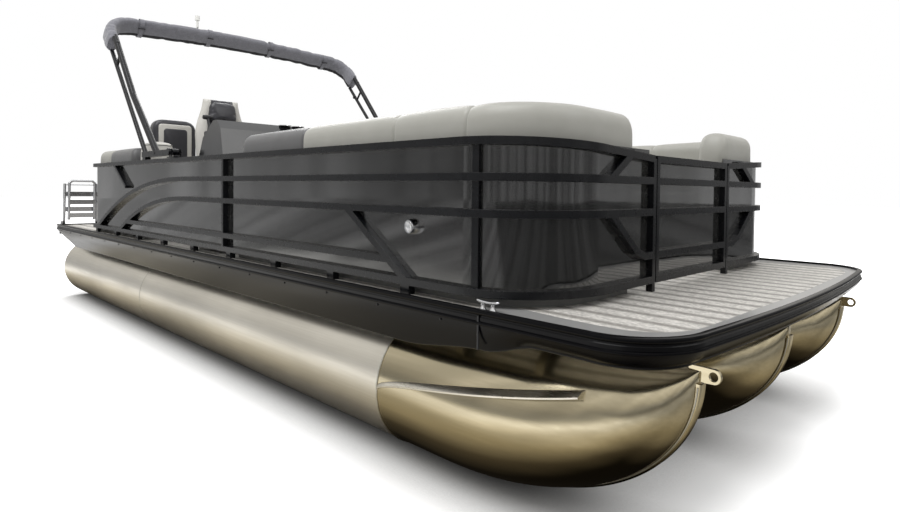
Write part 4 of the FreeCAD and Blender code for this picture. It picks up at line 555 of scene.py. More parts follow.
def rounded_plan(corners: Sequence[Plan], radii: Sequence[float], steps: int = 6) -> list[Plan]:
    """Round the corners of a polygon.

    Args:
        corners: its corners in order.
        radii: a radius for each corner.
        steps: how many segments each rounded corner has.

    Returns:
        The points of the rounded outline.
    """
    outline: list[Plan] = []
    for i, (corner, radius) in enumerate(zip(corners, radii)):
        here = Vector(corner)
        back, ahead = Vector(corners[i - 1]) - here, Vector(corners[(i + 1) % len(corners)]) - here
        reach = min(radius, back.length * 0.49, ahead.length * 0.49)
        start, end = here + back.normalized() * reach, here + ahead.normalized() * reach
        for step in range(steps + 1):
            t = step / steps
            point = start * (1 - t) ** 2 + here * (2 * t * (1 - t)) + end * t ** 2
            outline.append((point.x, point.y))
    return outline


def rounded_box(low: Plan, high: Plan, radius: float, steps: int = 6) -> list[Plan]:
    """Return the rectangle between two corners, with its corners rounded."""
    return rounded_plan([low, (high[0], low[1]), high, (low[0], high[1])], [radius] * 4, steps)


def middle_of(outline: Sequence[Plan]) -> Vector:
    """Return the mean of an outline's points."""
    return vec(sum(p[0] for p in outline) / len(outline), sum(p[1] for p in outline) / len(outline))


def drawn_in(outline: Sequence[Plan], inset: float) -> list[Plan]:
    """Return an outline drawn in towards its middle by a distance."""
    middle = middle_of(outline)
    made = []
    for x, y in outline:
        out = vec(x, y) - middle
        near = out * (1 - inset / max(out.length, 1e-6))
        made.append((middle.x + near.x, middle.y + near.y))
    return made


def slab(outline: Sequence[Plan], low: float, high: float, to_world: Callable[[float, float, float], Vector],
         edge: float = 0.004, rings: int = 3) -> Mesh:
    """Make a plate of an outline with rounded rims.

    Args:
        outline: points of the outline.
        low: the plate's lower face.
        high: its upper face.
        to_world: places a point given by its two plan values and its height.
        edge: radius of the rims.
        rings: how many segments each rim has.

    Returns:
        The mesh.
    """
    levels = []
    for step in range(rings + 1):
        turn = pi / 2 * step / rings
        levels.append((edge * (1 - sin(turn)), low + edge * (1 - cos(turn))))
    levels += [(inset, high + low - z) for inset, z in reversed(levels)]
    return skin([[to_world(x, y, z) for x, y in drawn_in(outline, inset)] for inset, z in levels])


def bar(start: Vector, end: Vector, width: float, depth: float, up: Vector = UP,
        edge: float = 0.0015) -> Mesh:
    """Make a straight bar of flat section with eased edges."""
    side, rise = frame_along([start, end], 0, up)
    section = rounded_box((-width / 2, -depth / 2), (width / 2, depth / 2), edge, 2)
    return skin([[end_point + side * u + rise * v for u, v in section] for end_point in (start, end)])


@dataclass
class Run:
    """A plan path with rounded corners, walked by its length."""

    points: list[Vector]

    @classmethod
    def through(cls, corners: Sequence[Plan], radius: float, steps: int = 14) -> "Run":
        """Make a path through corners, with arcs of one radius at the inner ones."""
        made = [Vector(corners[0])]
        for i in range(1, len(corners) - 1):
            here = Vector(corners[i])
            back = (Vector(corners[i - 1]) - here).normalized()
            ahead = (Vector(corners[i + 1]) - here).normalized()
            half = acos(max(-1.0, min(1.0, back.dot(ahead)))) / 2
            reach = radius / tan(half)
            centre = here + (back + ahead).normalized() * (radius / sin(half))
            start, end = here + back * reach - centre, here + ahead * reach - centre
            turn = start.angle_signed(end)
            for step in range(steps + 1):
                made.append(centre + Matrix.Rotation(-turn * step / steps, 2) @ start)
        made.append(Vector(corners[-1]))
        return cls(made)

    def length(self) -> float:
        """Return the whole length."""
        return sum((b - a).length for a, b in zip(self.points, self.points[1:]))

    def at(self, distance: float) -> tuple[Vector, Vector]:
        """Return the point and direction at a distance from the start."""
        left = distance
        for a, b in zip(self.points, self.points[1:]):
            step = (b - a).length
            if left <= step or b is self.points[-1]:
                ahead = (b - a).normalized()
                return a + ahead * left, ahead
            left -= step
        return self.points[-1], (self.points[-1] - self.points[-2]).normalized()


@dataclass
class Upholstery:
    """Foam under vinyl, swept along a plan path: panels with sewn seams between them and soft ends."""

    run: Run
    inward: int
    thickness: float
    height: float
    base_z: float
    seams: Sequence[float]
    colours: Sequence[int]
    crown: float = 0.006
    seam_depth: float = 0.007
    end_radius: tuple[float, float] = (0.07, 0.07)
    top_radius: float = 0.075
    rise: Callable[[float], float] = lambda share: 1.0

    def section(self) -> list[Plan]:
        """Return the cross-section: upright outer face, rolled top and slightly leaning front."""
        t, h, r = self.thickness, self.height, self.top_radius
        corners = [(0.004, 0.0), (0.0, h * 0.5), (0.003, h), (t - 0.012, h), (t + 0.002, h * 0.5),
                   (t - 0.004, 0.0)]
        return rounded_plan(corners, [0.012, 0.15, r, r * 0.95, 0.15, 0.02], 7)

    def mesh(self) -> Mesh:
        """Sweep the section along the path, with pinched seams and rounded ends."""
        whole = self.run.length()
        marks = {0.0, whole}
        steps = max(8, int(whole / 0.035))
        marks.update(whole * i / steps for i in range(steps + 1))
        for end, radius in enumerate(self.end_radius):
            for i in range(8):
                inset = radius * (1 - cos(pi / 2 * i / 7))
                marks.add(inset if end == 0 else whole - inset)
        for seam in self.seams:
            marks.update(seam + d for d in (-0.02, -0.010, -0.004, 0.0, 0.004, 0.010, 0.02))
        walk = sorted(m for m in marks if 0 <= m <= whole)
        section = self.section()
        bounds = [0.0] + list(self.seams) + [whole]
        rings = []
        for distance in walk:
            point, ahead = self.run.at(distance)
            inward = vec(-ahead.y, ahead.x) * self.inward
            scale_u, scale_w = self.end_scale(distance, whole)
            nearest = min([abs(distance - s) for s in self.seams], default=1.0)
            pinch = self.seam_depth * exp(-(nearest / 0.006) ** 2)
            panel = next(i for i in range(len(bounds) - 1) if distance <= bounds[i + 1] + 1e-9)
            share = (distance - bounds[panel]) / max(bounds[panel + 1] - bounds[panel], 1e-6)
            puff = self.crown * (1 - (2 * share - 1) ** 6) - pinch
            lift = self.rise(distance / whole)
            ring = []
            for u, w in section:
                high = w / self.height
                middle = self.thickness / 2
                grown_u = middle + (u - middle) * (scale_u * (1 + puff / middle * 0.8))
                grown_w = w * (1 + (scale_w - 1) * high) * (1 + (lift - 1) * high) + puff * high ** 2
                crease = 0.0016 * noise.noise(vec(distance * 9, u * 14, w * 7))
                plan = point + inward * (grown_u + crease)
                ring.append(vec(plan.x, plan.y, self.base_z + grown_w))
            rings.append(ring)

        def colour(ring: int, _: int) -> int:
            """Return the material number of a panel."""
            middle = (walk[ring] + walk[ring + 1]) / 2
            panel = next(i for i in range(len(bounds) - 1) if middle <= bounds[i + 1] + 1e-9)
            return self.colours[panel]
        return skin(rings, index_of=colour)

    def end_scale(self, distance: float, whole: float) -> tuple[float, float]:
        """Return how much the section shrinks near an end."""
        scale = 1.0
        for gap, radius in ((distance, self.end_radius[0]), (whole - distance, self.end_radius[1])):
            if radius > 0 and gap < radius:
                scale = min(scale, sqrt(max(0.0, 1 - (1 - gap / radius) ** 2)))
        soft = 0.35 + 0.65 * scale
        return soft, 1 - (1 - scale) * 0.32


def inflate(piece: bpy.types.Object, voxel: float, cap: float) -> None:
    """Blow a cushion up with a cloth simulation and keep the result.

    Args:
        piece: the cushion's object; its mesh is replaced by the simulated one.
        voxel: side of the remeshing cubes, in metres.
        cap: how far a point may move, in metres.
    """
    world = piece.matrix_world.copy()
    work = bpy.data.objects.new("inflating", piece.data.copy())
    bpy.context.scene.collection.objects.link(work)
    remesh = work.modifiers.new("even", "REMESH")
    remesh.mode = "VOXEL"
    remesh.voxel_size = voxel
    bpy.context.view_layer.update()
    even = bpy.data.meshes.new_from_object(work.evaluated_get(bpy.context.evaluated_depsgraph_get()))
    work.modifiers.clear()
    work.data = even
    start = [v.co.copy() for v in even.vertices]
    cloth = work.modifiers.new("air", "CLOTH")
    cloth.settings.use_pressure = True
    cloth.settings.uniform_pressure_force = AIR_PRESSURE
    cloth.settings.effector_weights.gravity = 0.0
    cloth.settings.quality = CLOTH_QUALITY
    for number in range(1, CLOTH_FRAMES + 1):
        bpy.context.scene.frame_set(number)
    blown = bpy.data.meshes.new_from_object(work.evaluated_get(bpy.context.evaluated_depsgraph_get()))
    low_z = min(p.z for p in start)
    for vert, was in zip(blown.vertices, start):
        moved = vert.co - was
        if moved.length > cap:
            moved = moved.normalized() * cap
        if was.z < low_z + 0.01:
            moved.z = max(moved.z, 0.0)
        vert.co = was + moved
    bpy.data.objects.remove(work)
    bpy.context.scene.frame_set(1)
    blown.materials.clear()
    for material in piece.data.materials:
        blown.materials.append(material)
    blown.polygons.foreach_set("use_smooth", [True] * len(blown.polygons))
    piece.data = blown
    piece.matrix_world = world


def hug(points: Sequence[Vector], piece: bpy.types.Object, proud: float) -> list[Vector]:
    """Bring a line of points onto a piece's surface, standing proud of it."""
    made = []
    for point in points:
        found, place, normal, _ = piece.closest_point_on_mesh(point)
        made.append(place + normal * proud if found else point)
    return made


@dataclass
class Cushion:
    """Loose seat cushion: a crowned block on a plan outline, blown up and edged with piping."""

    name: str
    outline: Sequence[Plan]
    low: float
    high: float
    body: Body = Body.HULL
    finish: Finish = LIGHT_VINYL
    voxel: float = 0.016
    cap: float = 0.014
    fill: float = 0.75
    corner: float = 0.06
    slack: float = 0.008

    def build(self) -> bpy.types.Object:
        plan = rounded_plan(self.outline, [self.corner] * len(self.outline), 5)
        levels = ((0.010, 0.0), (0.002, 0.10), (0.0, 0.5), (0.002, 0.86), (0.012, 0.97), (0.03, 1.0))
        middle = middle_of(plan)
        thick = self.high - self.low - self.slack
        rings = [[vec(x, y, self.low + thick * share) for x, y in drawn_in(plan, inset + self.slack)]
                 for inset, share in levels]
        made = Piece(self.name, [self.finish], "vinyl_light", self.body).place(skin(rings), 60)
        inflate(made, self.voxel, self.cap)
        rim = [vec(middle.x + (x - middle.x) * 0.985, middle.y + (y - middle.y) * 0.985, self.high - 0.022)
               for x, y in plan]
        welt = tube(hug(rim, made, 0.001), 0.0045, 8, closed=True)
        Piece(self.name + "_piping", [PIPING], "vinyl_light", self.body).place(welt)
        return made


@dataclass
class Lounges:
    """Bow and aft lounges: seat cushions, backrests, the bolster and the seat boxes' fittings."""

    back: float = 0.170
    inner: float = 0.509
    bow_radius: float = 0.3525
    doorway: float = 0.470
    starboard_rear: float = 1.252
    port_rear: float = 1.772
    corner_seat: float = 0.51
    gap: float = 0.001

    def build(self) -> None:
        """Build every piece of the lounges."""
        self.bow_seats()
        self.aft_seats()
        self.bow_backs()
        self.aft_backs()
        self.bolster()
        self.lids()

    def rectangle(self, rear: float, front: float, side: Side, inner: float, outer: float) -> list[Plan]:
        """Return the corners of a rectangle on one side of the boat."""
        corners = [(rear, inner), (front, inner), (front, outer), (rear, outer)]
        return [(x, y * side.value) for x, y in corners]

    def bow_seats(self) -> None:
        """Build the bow seat cushions: squares along the side and a corner one."""
        outer = INSIDE_Y - self.back - self.gap
        front = BOW_X - self.back
        bend = front - self.corner_seat
        cut = 0.16
        for side, rear, count in ((Side.STARBOARD, self.starboard_rear, 3), (Side.PORT, self.port_rear, 2)):
            first = self.row(f"bow_seat_{side.word}", rear, bend, side, count)
            corner = [(bend, self.inner), (front, self.doorway), (front, outer - cut), (front - cut, outer),
                      (bend, outer)]
            Cushion(f"bow_seat_{side.word}_corner", [(x, y * side.value) for x, y in corner], SEAT_Z,
                    CUSHION_Z).build()
            if side is Side.STARBOARD:
                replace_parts(first, "bow_seat_cushions")

    def row(self, name: str, rear: float, front: float, side: Side, count: int) -> bpy.types.Object:
        """Build a row of seat cushions along a side and return the first one."""
        pitch = (front - rear) / count
        made = []
        for i in range(count):
            plan = self.rectangle(rear + pitch * i, rear + pitch * (i + 1), side, self.inner,
                                  INSIDE_Y - self.back - self.gap)
            made.append(Cushion(f"{name}_{i + 1}", plan, SEAT_Z, CUSHION_Z).build())
        return made[0]

    def aft_seats(self) -> None:
        """Build the aft seat cushions."""
        low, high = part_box("aft_seat_cushions")
        for side, front, count in ((Side.STARBOARD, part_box("chaise_back")[0].x, 2), (Side.PORT, high.x, 4)):
            first = self.row(f"aft_seat_{side.word}", low.x, front, side, count)
            if side is Side.STARBOARD:
                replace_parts(first, "aft_seat_cushions")

    def backrest(self, name: str, side: Side, run: Run, seams: Sequence[float], colours: Sequence[int],
                 ends: Plan, rise: Callable[[float], float]) -> None:
        """Sweep one backrest along its run, and let the starboard one stand for the solids.

        Args:
            name: the piece's name without its side.
            side: the side that it stands on.
            run: plan path of its outer face.
            seams: distances of its sewn seams along the run.
            colours: a finish number for each panel.
            ends: radius of each end.
            rise: share of the full height at a share of the run.
        """
        pad = Upholstery(run, -side.value, self.back, BACK_Z - SEAT_Z, SEAT_Z + self.gap, seams, colours,
                         end_radius=ends, rise=rise)
        made = Piece(f"{name}_{side.word}", [LIGHT_VINYL, DARK_VINYL], "vinyl_light").place(pad.mesh(), 60)
        if side is Side.STARBOARD:
            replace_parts(made, name + "s")

    def bow_backs(self) -> None:
        """Build the bow backrests, which run along the side and round the corner to the doorway."""
        for side, rear, seams in ((Side.STARBOARD, self.starboard_rear, (0.80, 1.62, 2.10)),
                                  (Side.PORT, self.port_rear, (0.5, 1.2, 1.95))):
            corners = [(rear, INSIDE_Y), (BOW_X, INSIDE_Y), (BOW_X, self.doorway)]
            run = Run.through([(x, y * side.value) for x, y in corners], self.bow_radius)
            self.backrest("bow_backrest", side, run, seams, (1, 0, 0, 0), (0.09, 0.07),
                          lambda share: 0.965 + 0.045 * min(1.0, share * 1.6))

    def aft_backs(self) -> None:
        """Build the aft backrests."""
        low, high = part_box("aft_backrests")
        rear = low.x + 0.004
        for side, front, seams, colours in (
                (Side.STARBOARD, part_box("chaise_back")[0].x - 0.002, (0.42,), (0, 1)),
                (Side.PORT, high.x, (0.42, 1.2, 2.0), (0, 1, 0, 1))):
            run = Run([vec(x, INSIDE_Y * side.value) for x in (rear, front)])
            self.backrest("aft_backrest", side, run, [s for s in seams if s < front - rear], colours,
                          (0.11, 0.05), lambda share: 0.975)

    def bolster(self) -> None:
        """Build the pale bolster beside the helm chair, on its box."""
        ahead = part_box("chaise_back")[1].x + 0.001
        plan = self.rectangle(ahead, ahead + 0.284, Side.STARBOARD, INSIDE_Y - 0.209, INSIDE_Y)
        Cushion("helm_bolster", plan, SEAT_Z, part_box("aft_backrests")[1].z, finish=PALE_VINYL, voxel=0.012,
                cap=0.016, corner=0.07).build()

    def lids(self) -> None:
        """Build the hinged lids' seams and grab cut-outs on the seat boxes, as moulded trim strips."""
        aft_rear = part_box("aft_lounge_bases")[0].x + 0.05
        for side, bow_rear, aft_front in ((Side.STARBOARD, self.starboard_rear, -0.95),
                                          (Side.PORT, self.port_rear, 0.8)):
            y = (INSIDE_Y - 0.640) * side.value - side.value * 0.003
            for end, rear, front in (("bow", bow_rear, BOW_X - 0.66), ("aft", aft_rear, aft_front)):
                seam_z, grip_z = SEAT_Z - 0.035, SEAT_Z - 0.075
                parts = [bar(vec(rear + 0.03, y, seam_z), vec(front - 0.03, y, seam_z), 0.007, 0.012)]
                for x in (rear + (front - rear) * 0.25, (rear + front) / 2, rear + (front - rear) * 0.75):
                    parts.append(
                        bar(vec(x - 0.05, y, grip_z), vec(x + 0.05, y, grip_z), 0.010, 0.022, edge=0.004))
                Piece(f"{end}_seat_box_trim_{side.word}", [NYLON], "seat_shell").place(parts)


@dataclass
class Chaise:
    """Upright backrest behind the helm: dark rolled rim, pale frame and a stitched dark insert."""

    rim: float = 0.075
    frame: float = 0.038

    def build(self) -> None:
        """Build the pad, frame and insert, one behind the other."""
        low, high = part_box("chaise_back")
        y_mid, half = (low.y + high.y) / 2, (high.y - low.y) / 2
        z_mid, tall = (low.z + high.z) / 2, (high.z - low.z) / 2

        def upright(u: float, v: float, w: float) -> Vector:
            """Stand a plan point up: across, up and forward."""
            return vec(w, y_mid + u, z_mid + v)
        outline = rounded_plan([(-half, -tall), (half, -tall), (half, tall), (-half, tall)],
                               [0.02, 0.02, 0.10, 0.10], 8)
        pad = Piece("chaise_rim", [INSERT_VINYL], "vinyl_light")
        made = pad.place(slab(outline, low.x + 0.004, high.x - 0.012, upright, 0.035, 6), 60)
        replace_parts(made, "chaise_back")
        edge = self.rim * 0.55
        top = tall - edge
        bottom = 0.5 - z_mid + DECK_Z
        for name, finish, inset, face in (("chaise_frame", PALE_VINYL, edge, high.x - 0.004),
                                          ("chaise_insert", INSERT_VINYL, edge + self.frame, high.x + 0.001)):
            wide = half - inset
            lift = inset - edge
            shape = slab(rounded_box((-wide, bottom + lift), (wide, top - lift), 0.03), low.x + 0.05, face,
                         upright, 0.012, 4)
            Piece(name, [finish], "vinyl_light").place(shape, 60)


@dataclass
class HelmChair:
    """Helm chair: quilted back with pale side bolsters, headrest, seat, arms and pedestal trim."""

    arm_reach: float = 0.212
    quilt_pitch: float = 0.062
    insert_share: float = 0.60
    rings: int = 64
    sides: int = 72

    def build(self) -> None:
        """Build the chair's soft pieces and trim."""
        self.back()
        self.headrest()
        self.seat()
        self.arms()
        self.skirt()

    def spine(self, share: float) -> tuple[float, float, float, float]:
        """Return the back's front face x, height, half-width and thickness at a share of its height."""
        z = CHAIR_LOW.z + (CHAIR_HIGH.z - CHAIR_LOW.z - 0.004) * share
        front = CHAIR_HIGH.x - 0.004 - 0.082 * min(1.0, share * 1.25) ** 1.2
        full = (CHAIR_HIGH.y - CHAIR_LOW.y) / 2 - 0.004
        if share < 0.62:
            half = full * (0.93 + 0.07 * sin(share / 0.62 * pi / 2))
        else:
            fall = (share - 0.62) / 0.38
            half = full - (full - 0.145) * (3 * fall ** 2 - 2 * fall ** 3)
        thick = 0.098 - 0.018 * share
        return front, z, half, thick

    def back(self) -> None:
        """Build the back with stitched diamonds between two pale bolsters."""
        rings = []
        for i in range(self.rings + 1):
            share = i / self.rings
            front, z, half, thick = self.spine(share)
            end = min(share, 1 - share) * 14
            plump = min(1.0, 0.55 + 0.45 * sqrt(min(1.0, end)))
            ring = []
            for angle in turns(self.sides):
                across = squared(cos(angle), 0.55)
                depth = squared(sin(angle), 0.75)
                x = front - thick / 2 + depth * thick / 2 * plump
                if depth > 0:
                    x += self.bolster(across) + self.stitch(across * half, z, across)
                ring.append(vec(x, CHAIR_Y + across * half * (0.97 + 0.03 * plump), z))
            rings.append(ring)

        def colour(_: int, k: int) -> int:
            """Return dark for the middle of the front and pale for the bolsters and the rear."""
            angle = 2 * pi * (k + 0.5) / self.sides
            across = abs(cos(angle)) ** 0.55
            return 1 if across < self.insert_share and sin(angle) > 0 else 0
        piece = Piece("chair_back_pad", [PALE_VINYL, INSERT_VINYL], "vinyl_dark", Body.CHAIR)
        made = piece.place(skin(rings, index_of=colour), 70)
        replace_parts(made, "chair_back")

    @staticmethod
    def bolster(across: float) -> float:
        """Return how far the front stands out: side bolsters proud, middle set back."""
        edge = abs(across)
        return 0.006 * exp(-((edge - 0.80) / 0.14) ** 2) - 0.014 * (1 if edge < 0.58 else 0)

    def stitch(self, y: float, z: float, across: float) -> float:
        """Return the quilting's relief: diamonds of 62 mm, drawn in along their stitched lines."""
        if abs(across) > self.insert_share:
            return 0.0
        one = abs(sin(pi * (y + z) / self.quilt_pitch))
        two = abs(sin(pi * (y - z) / self.quilt_pitch))
        return -0.008 * (1 - min(1.0, 2.2 * min(one, two))) ** 2

    def headrest(self) -> None:
        """Build the headrest pad on the front of the back's top."""
        front, z, _, _ = self.spine(0.86)

        def upright(u: float, v: float, w: float) -> Vector:
            """Stand a plan point up: across, up and forward, leaning back with the chair."""
            return vec(front - 0.05 + w - v * 0.10, CHAIR_Y + u, z + 0.008 + v)
        wide = 0.115
        outline = rounded_plan([(-wide, -0.085), (wide, -0.085), (wide * 0.9, 0.085), (-wide * 0.9, 0.085)],
                               [0.05] * 4, 8)
        piece = Piece("chair_headrest", [INSERT_VINYL], "vinyl_dark", Body.CHAIR)
        made = piece.place(slab(outline, 0.0, 0.088, upright, 0.03, 6), 60)
        inflate(made, 0.008, 0.010)

    def seat(self) -> None:
        """Build the seat: a dark cushion with a rolled front edge."""
        low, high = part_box("chair_cushion")
        plan = [(low.x, low.y), (high.x, low.y), (high.x, high.y), (low.x, high.y)]
        cushion = Cushion("chair_seat_pad", plan, low.z, high.z, Body.CHAIR, INSERT_VINYL, voxel=0.009,
                          cap=0.012, corner=0.07)
        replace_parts(cushion.build(), "chair_cushion")

    def arms(self) -> None:
        """Build the arms: flat bent bars with a moulded pad on each."""
        low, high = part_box("chair_arms")
        meshes_bar, meshes_pad = [], []
        for way in (-1, 1):
            y = CHAIR_Y + way * self.arm_reach
            path = [vec(low.x + 0.045, y, low.z + 0.002), vec(low.x + 0.04, y, low.z + 0.10),
                    vec(low.x + 0.048, y, high.z - 0.055), vec(low.x + 0.075, y, high.z - 0.038),
                    vec(high.x - 0.03, y, high.z - 0.038)]
            meshes_bar.append(tube(path, 0.013, 14, up=ACROSS))

            def level(u: float, v: float, w: float, y: float = y) -> Vector:
                """Lay a plan point level at the arm's side."""
                return vec(u, y + v, w)
            shape = rounded_plan([(low.x + 0.01, -0.026), (high.x - 0.004, -0.022), (high.x - 0.004, 0.022),
                                  (low.x + 0.01, 0.026)], [0.02] * 4, 6)
            meshes_pad.append(slab(shape, high.z - 0.040, high.z - 0.001, level, 0.012, 5))
        bars = Piece("chair_arm_bars", [NYLON], "chair_metal", Body.CHAIR).place(meshes_bar)
        pads = Piece("chair_arm_pads", [INSERT_VINYL], "vinyl_dark", Body.CHAIR).place(meshes_pad, 60)
        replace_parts(bars, "chair_arms")

    def skirt(self) -> None:
        """Build the pedestal's trim: a stepped foot ring, its bolts and the slide's lever."""
        centre = vec(CHAIR_X, CHAIR_Y, DECK_Z)
        foot = lathe([(0.150, 0.0145), (0.149, 0.018), (0.09, 0.024), (0.06, 0.05), (0.048, 0.09),
                      (0.0362, 0.095)], centre, UP, 48)
        Piece("pedestal_foot_cover", [PEDESTAL], "chair_metal").place(foot)
        bolts = [lathe([(0.0001, 0.012), (0.007, 0.011), (0.008, 0.006), (0.008, 0.0)],
                       centre + vec(cos(a) * 0.128, sin(a) * 0.128, 0.016), UP, 6)
                 for a in (pi * k / 3 for k in range(6))]
        Piece("pedestal_bolts", [STEEL], "chair_metal").place(bolts, 30)
        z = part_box("chair_base")[0].z + 0.012
        lever = tube([vec(CHAIR_X + 0.05, CHAIR_Y - 0.235, z), vec(CHAIR_X + 0.12, CHAIR_Y - 0.262, z),
                      vec(CHAIR_X + 0.20, CHAIR_Y - 0.262, z + 0.004)], 0.006, 10)
        Piece("chair_slide_lever", [NYLON], "chair_metal", Body.CHAIR).place(lever)


@dataclass
class Canopy:
    """Folded canopy in its canvas sleeve on the tower's bows, with straps, leg caps and brackets."""

    lean: float = radians(44)
    light_stand: float = 0.235
    drop: float = 0.330
    corner: float = 0.22
    crown: float = 0.06
    depth: float = 0.095
    width: float = 0.190
    arm_half: float = 0.022
    rise: float = 1.259
    feet: Plan = (0.383, 0.645)
    bow: float = 0.048
    cap_share: float = 0.86
    strap_half: float = 0.019
    strap_thick: float = 0.0012

    @property
    def top(self) -> Vector:
        """Return the middle of the sleeve's line, without its crown."""
        low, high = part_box("anchor_light")
        return vec((low.x + high.x) / 2, 0.0, high.z - self.light_stand)

    @property
    def reach(self) -> float:
        """Return how far the sleeve's centre line goes to each side."""
        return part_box("canopy_boot")[1].y - self.depth / 2

    def axes(self) -> tuple[Vector, Vector]:
        """Return the sleeve's upward and forward directions."""
        up = vec(-sin(self.lean), 0, cos(self.lean))
        return up, vec(cos(self.lean), 0, sin(self.lean))

    def path(self) -> list[Vector]:
        """Return the sleeve's centre line, from the starboard end over to port."""
        up, _ = self.axes()
        top, inner = self.top, self.reach - self.corner
        half = [top + ACROSS * self.reach - up * (self.drop - (self.drop - self.corner) * i / 7)
                for i in range(8)]
        for a in (pi / 2 * i / 12 for i in range(1, 13)):
            half.append(
                top + vec(0, inner + self.corner * cos(a), 0) - up * (self.corner - self.corner * sin(a)))
        for t in (i / 24 for i in range(1, 25)):
            half.append(top + vec(0, inner * (1 - t), 0) + up * (self.crown * (1 - (1 - t) ** 1.8)))
        return [mirrored(p) for p in half] + half[-2::-1]

    def build(self) -> None:
        """Build the sleeve and what hangs on it."""
        self.sleeve()
        self.straps()
        self.knuckles()
        self.brackets()

    def sleeve(self) -> None:
        """Build the canvas sleeve: flattened round section, slack folds between its straps, and painted shade
        on its lower rear face.
        """
        up, ahead = self.axes()
        path = self.path()
        rng = random.Random(7)
        folds = [(rng.uniform(0, len(path)), rng.uniform(-0.6, 0.6), rng.uniform(0.5, 1.0))
                 for _ in range(46)]
        fine: list[Vector] = []
        for a, b in zip(path, path[1:]):
            fine += [a, (a + b) / 2]
        fine.append(path[-1])
        sides = 40
        rings = []
        for i, point in enumerate(fine):
            near = fine[min(i + 1, len(fine) - 1)] - fine[max(i - 1, 0)]
            out = ahead.cross(near.normalized()).normalized()
            if out.dot(up) < 0 and abs(point.y) < 0.9:
                out = -out
            ends = min(i, len(fine) - 1 - i)
            close = 0.82 + 0.18 * min(1.0, ends / 5)
            ring = []
            for angle in turns(sides):
                u = squared(cos(angle), 0.72) * self.width / 2
                v = squared(sin(angle), 0.80) * self.depth / 2
                slack = 0.0
                for start, slope, deep in folds:
                    across = (i / 2 - start) - slope * u / self.width * 9
                    slack -= 0.0035 * deep * exp(-(across / 0.55) ** 2)
                slack += 0.003 * noise.noise(vec(point.y * 7, u * 22, v * 22))
                grow = close * (0.97 + slack / 0.06)
                ring.append(point + ahead * (u * grow) + out * (v * grow))
            rings.append(ring)

        def colour(_: int, k: int) -> int:
            """Return the darker canvas, which paints shade, for the sleeve's lower rear part."""
            angle = 2 * pi * (k + 0.5) / sides
            # Painted shade: the lower rear quarter of the section takes the darker canvas
            return 1 if sin(angle) < -0.3 and cos(angle) < -0.35 else 0
        piece = Piece("canopy_sleeve", [CANVAS, CANVAS_PAINTED_SHADE], "canopy_cloth", Body.TOWER)
        made = piece.place(skin(rings, index_of=colour), 70)
        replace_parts(made, "canopy_boot")

    def straps(self) -> None:
        """Build webbing straps with buckles round the sleeve."""
        up, ahead = self.axes()
        meshes, buckles = [], []
        for y in (-0.95, -0.32, 0.32, 0.95):
            share = 1 - abs(y) / (self.reach - self.corner)
            rise = self.crown * (1 - (1 - max(0.0, share)) ** 1.8)
            centre = self.top + vec(0, y, 0) + up * (rise if abs(y) < 0.95 else 0.0)
            rings = []
            for angle in turns(40):
                u = squared(cos(angle), 0.72) * (self.width / 2 + 0.0005)
                v = squared(sin(angle), 0.80) * (self.depth / 2 + 0.0005)
                middle = centre + ahead * u + up * v
                out = (ahead * cos(angle) + up * sin(angle)) * self.strap_thick
                edge = ACROSS * self.strap_half
                rings.append(
                    [middle - edge - out, middle + edge - out, middle + edge + out, middle - edge + out])
            meshes.append(skin(rings, closed=True))
            low = centre - up * (self.depth / 2) + ahead * 0.03
            buckles.append(bar(low - vec(0, 0.026, 0), low + vec(0, 0.026, 0), 0.032, 0.008))
        Piece("canopy_straps", [CANVAS], "canopy_cloth", Body.TOWER).place(meshes, 60)
        Piece("canopy_buckles", [NYLON], "canopy_cloth", Body.TOWER).place(buckles)

    def knuckles(self) -> None:
        """Build the caps and pins where the legs meet the arms and enter the sleeve."""
        up, ahead = self.axes()
        pivot_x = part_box("tower_frame")[1].x - self.arm_half
        foot_z = self.top.z - self.rise
        end = self.top - up * (self.drop - self.arm_half)
        spread = ahead * (self.width / 2 - self.arm_half)
        front, rear = (vec(pivot_x - reach, 0.0, foot_z) for reach in self.feet)
        bow = (end + spread - front).cross(ACROSS).normalized() * self.bow
        knee = (front + end + spread) * 0.5 + bow
        high_front = knee.lerp(end + spread, self.cap_share)
        high_rear = rear.lerp(end - spread, self.cap_share)
        parts, bright = [], []
        for side in Side:
            axis = vec(0, side.value, 0)
            for place, radius, out in ((front, 0.023, 0.016), (rear, 0.020, 0.012),
                                       (high_front, 0.027, 0.018), (high_rear, 0.021, 0.012)):
                centre = place + axis * (FENCE_Y + out)
                parts.append(lathe([(0.0001, 0.016), (radius * 0.8, 0.015), (radius, 0.010), (radius, -0.012),
                                    (0.0001, -0.014)], centre, axis, 24))
                bright.append(lathe([(0.0001, 0.022), (0.006, 0.021), (0.007, 0.016), (0.007, 0.012)], centre,
                                    axis, 12))
        Piece("tower_knuckles", [POWDER], "tower_metal", Body.TOWER).place(parts)
        Piece("tower_pins", [STEEL], "tower_metal", Body.TOWER).place(bright)

    def brackets(self) -> None:
        """Build the two steel brackets on the sleeve's top, by the mast light."""
        up, ahead = self.axes()
        meshes = []
        for y in (-0.44, 0.02):
            centre = self.top + up * (self.depth / 2 + 0.05) + vec(0, y, 0)
            path = [centre + vec(0, -0.03, -0.012), centre + vec(0, -0.03, 0.002),
                    centre + vec(0, 0.03, 0.002), centre + vec(0, 0.03, -0.012)]
            meshes.append(tube(path, 0.006, 10, up=ahead))
        Piece("canopy_top_brackets", [STEEL], "bright_steel", Body.TOWER).place(meshes)


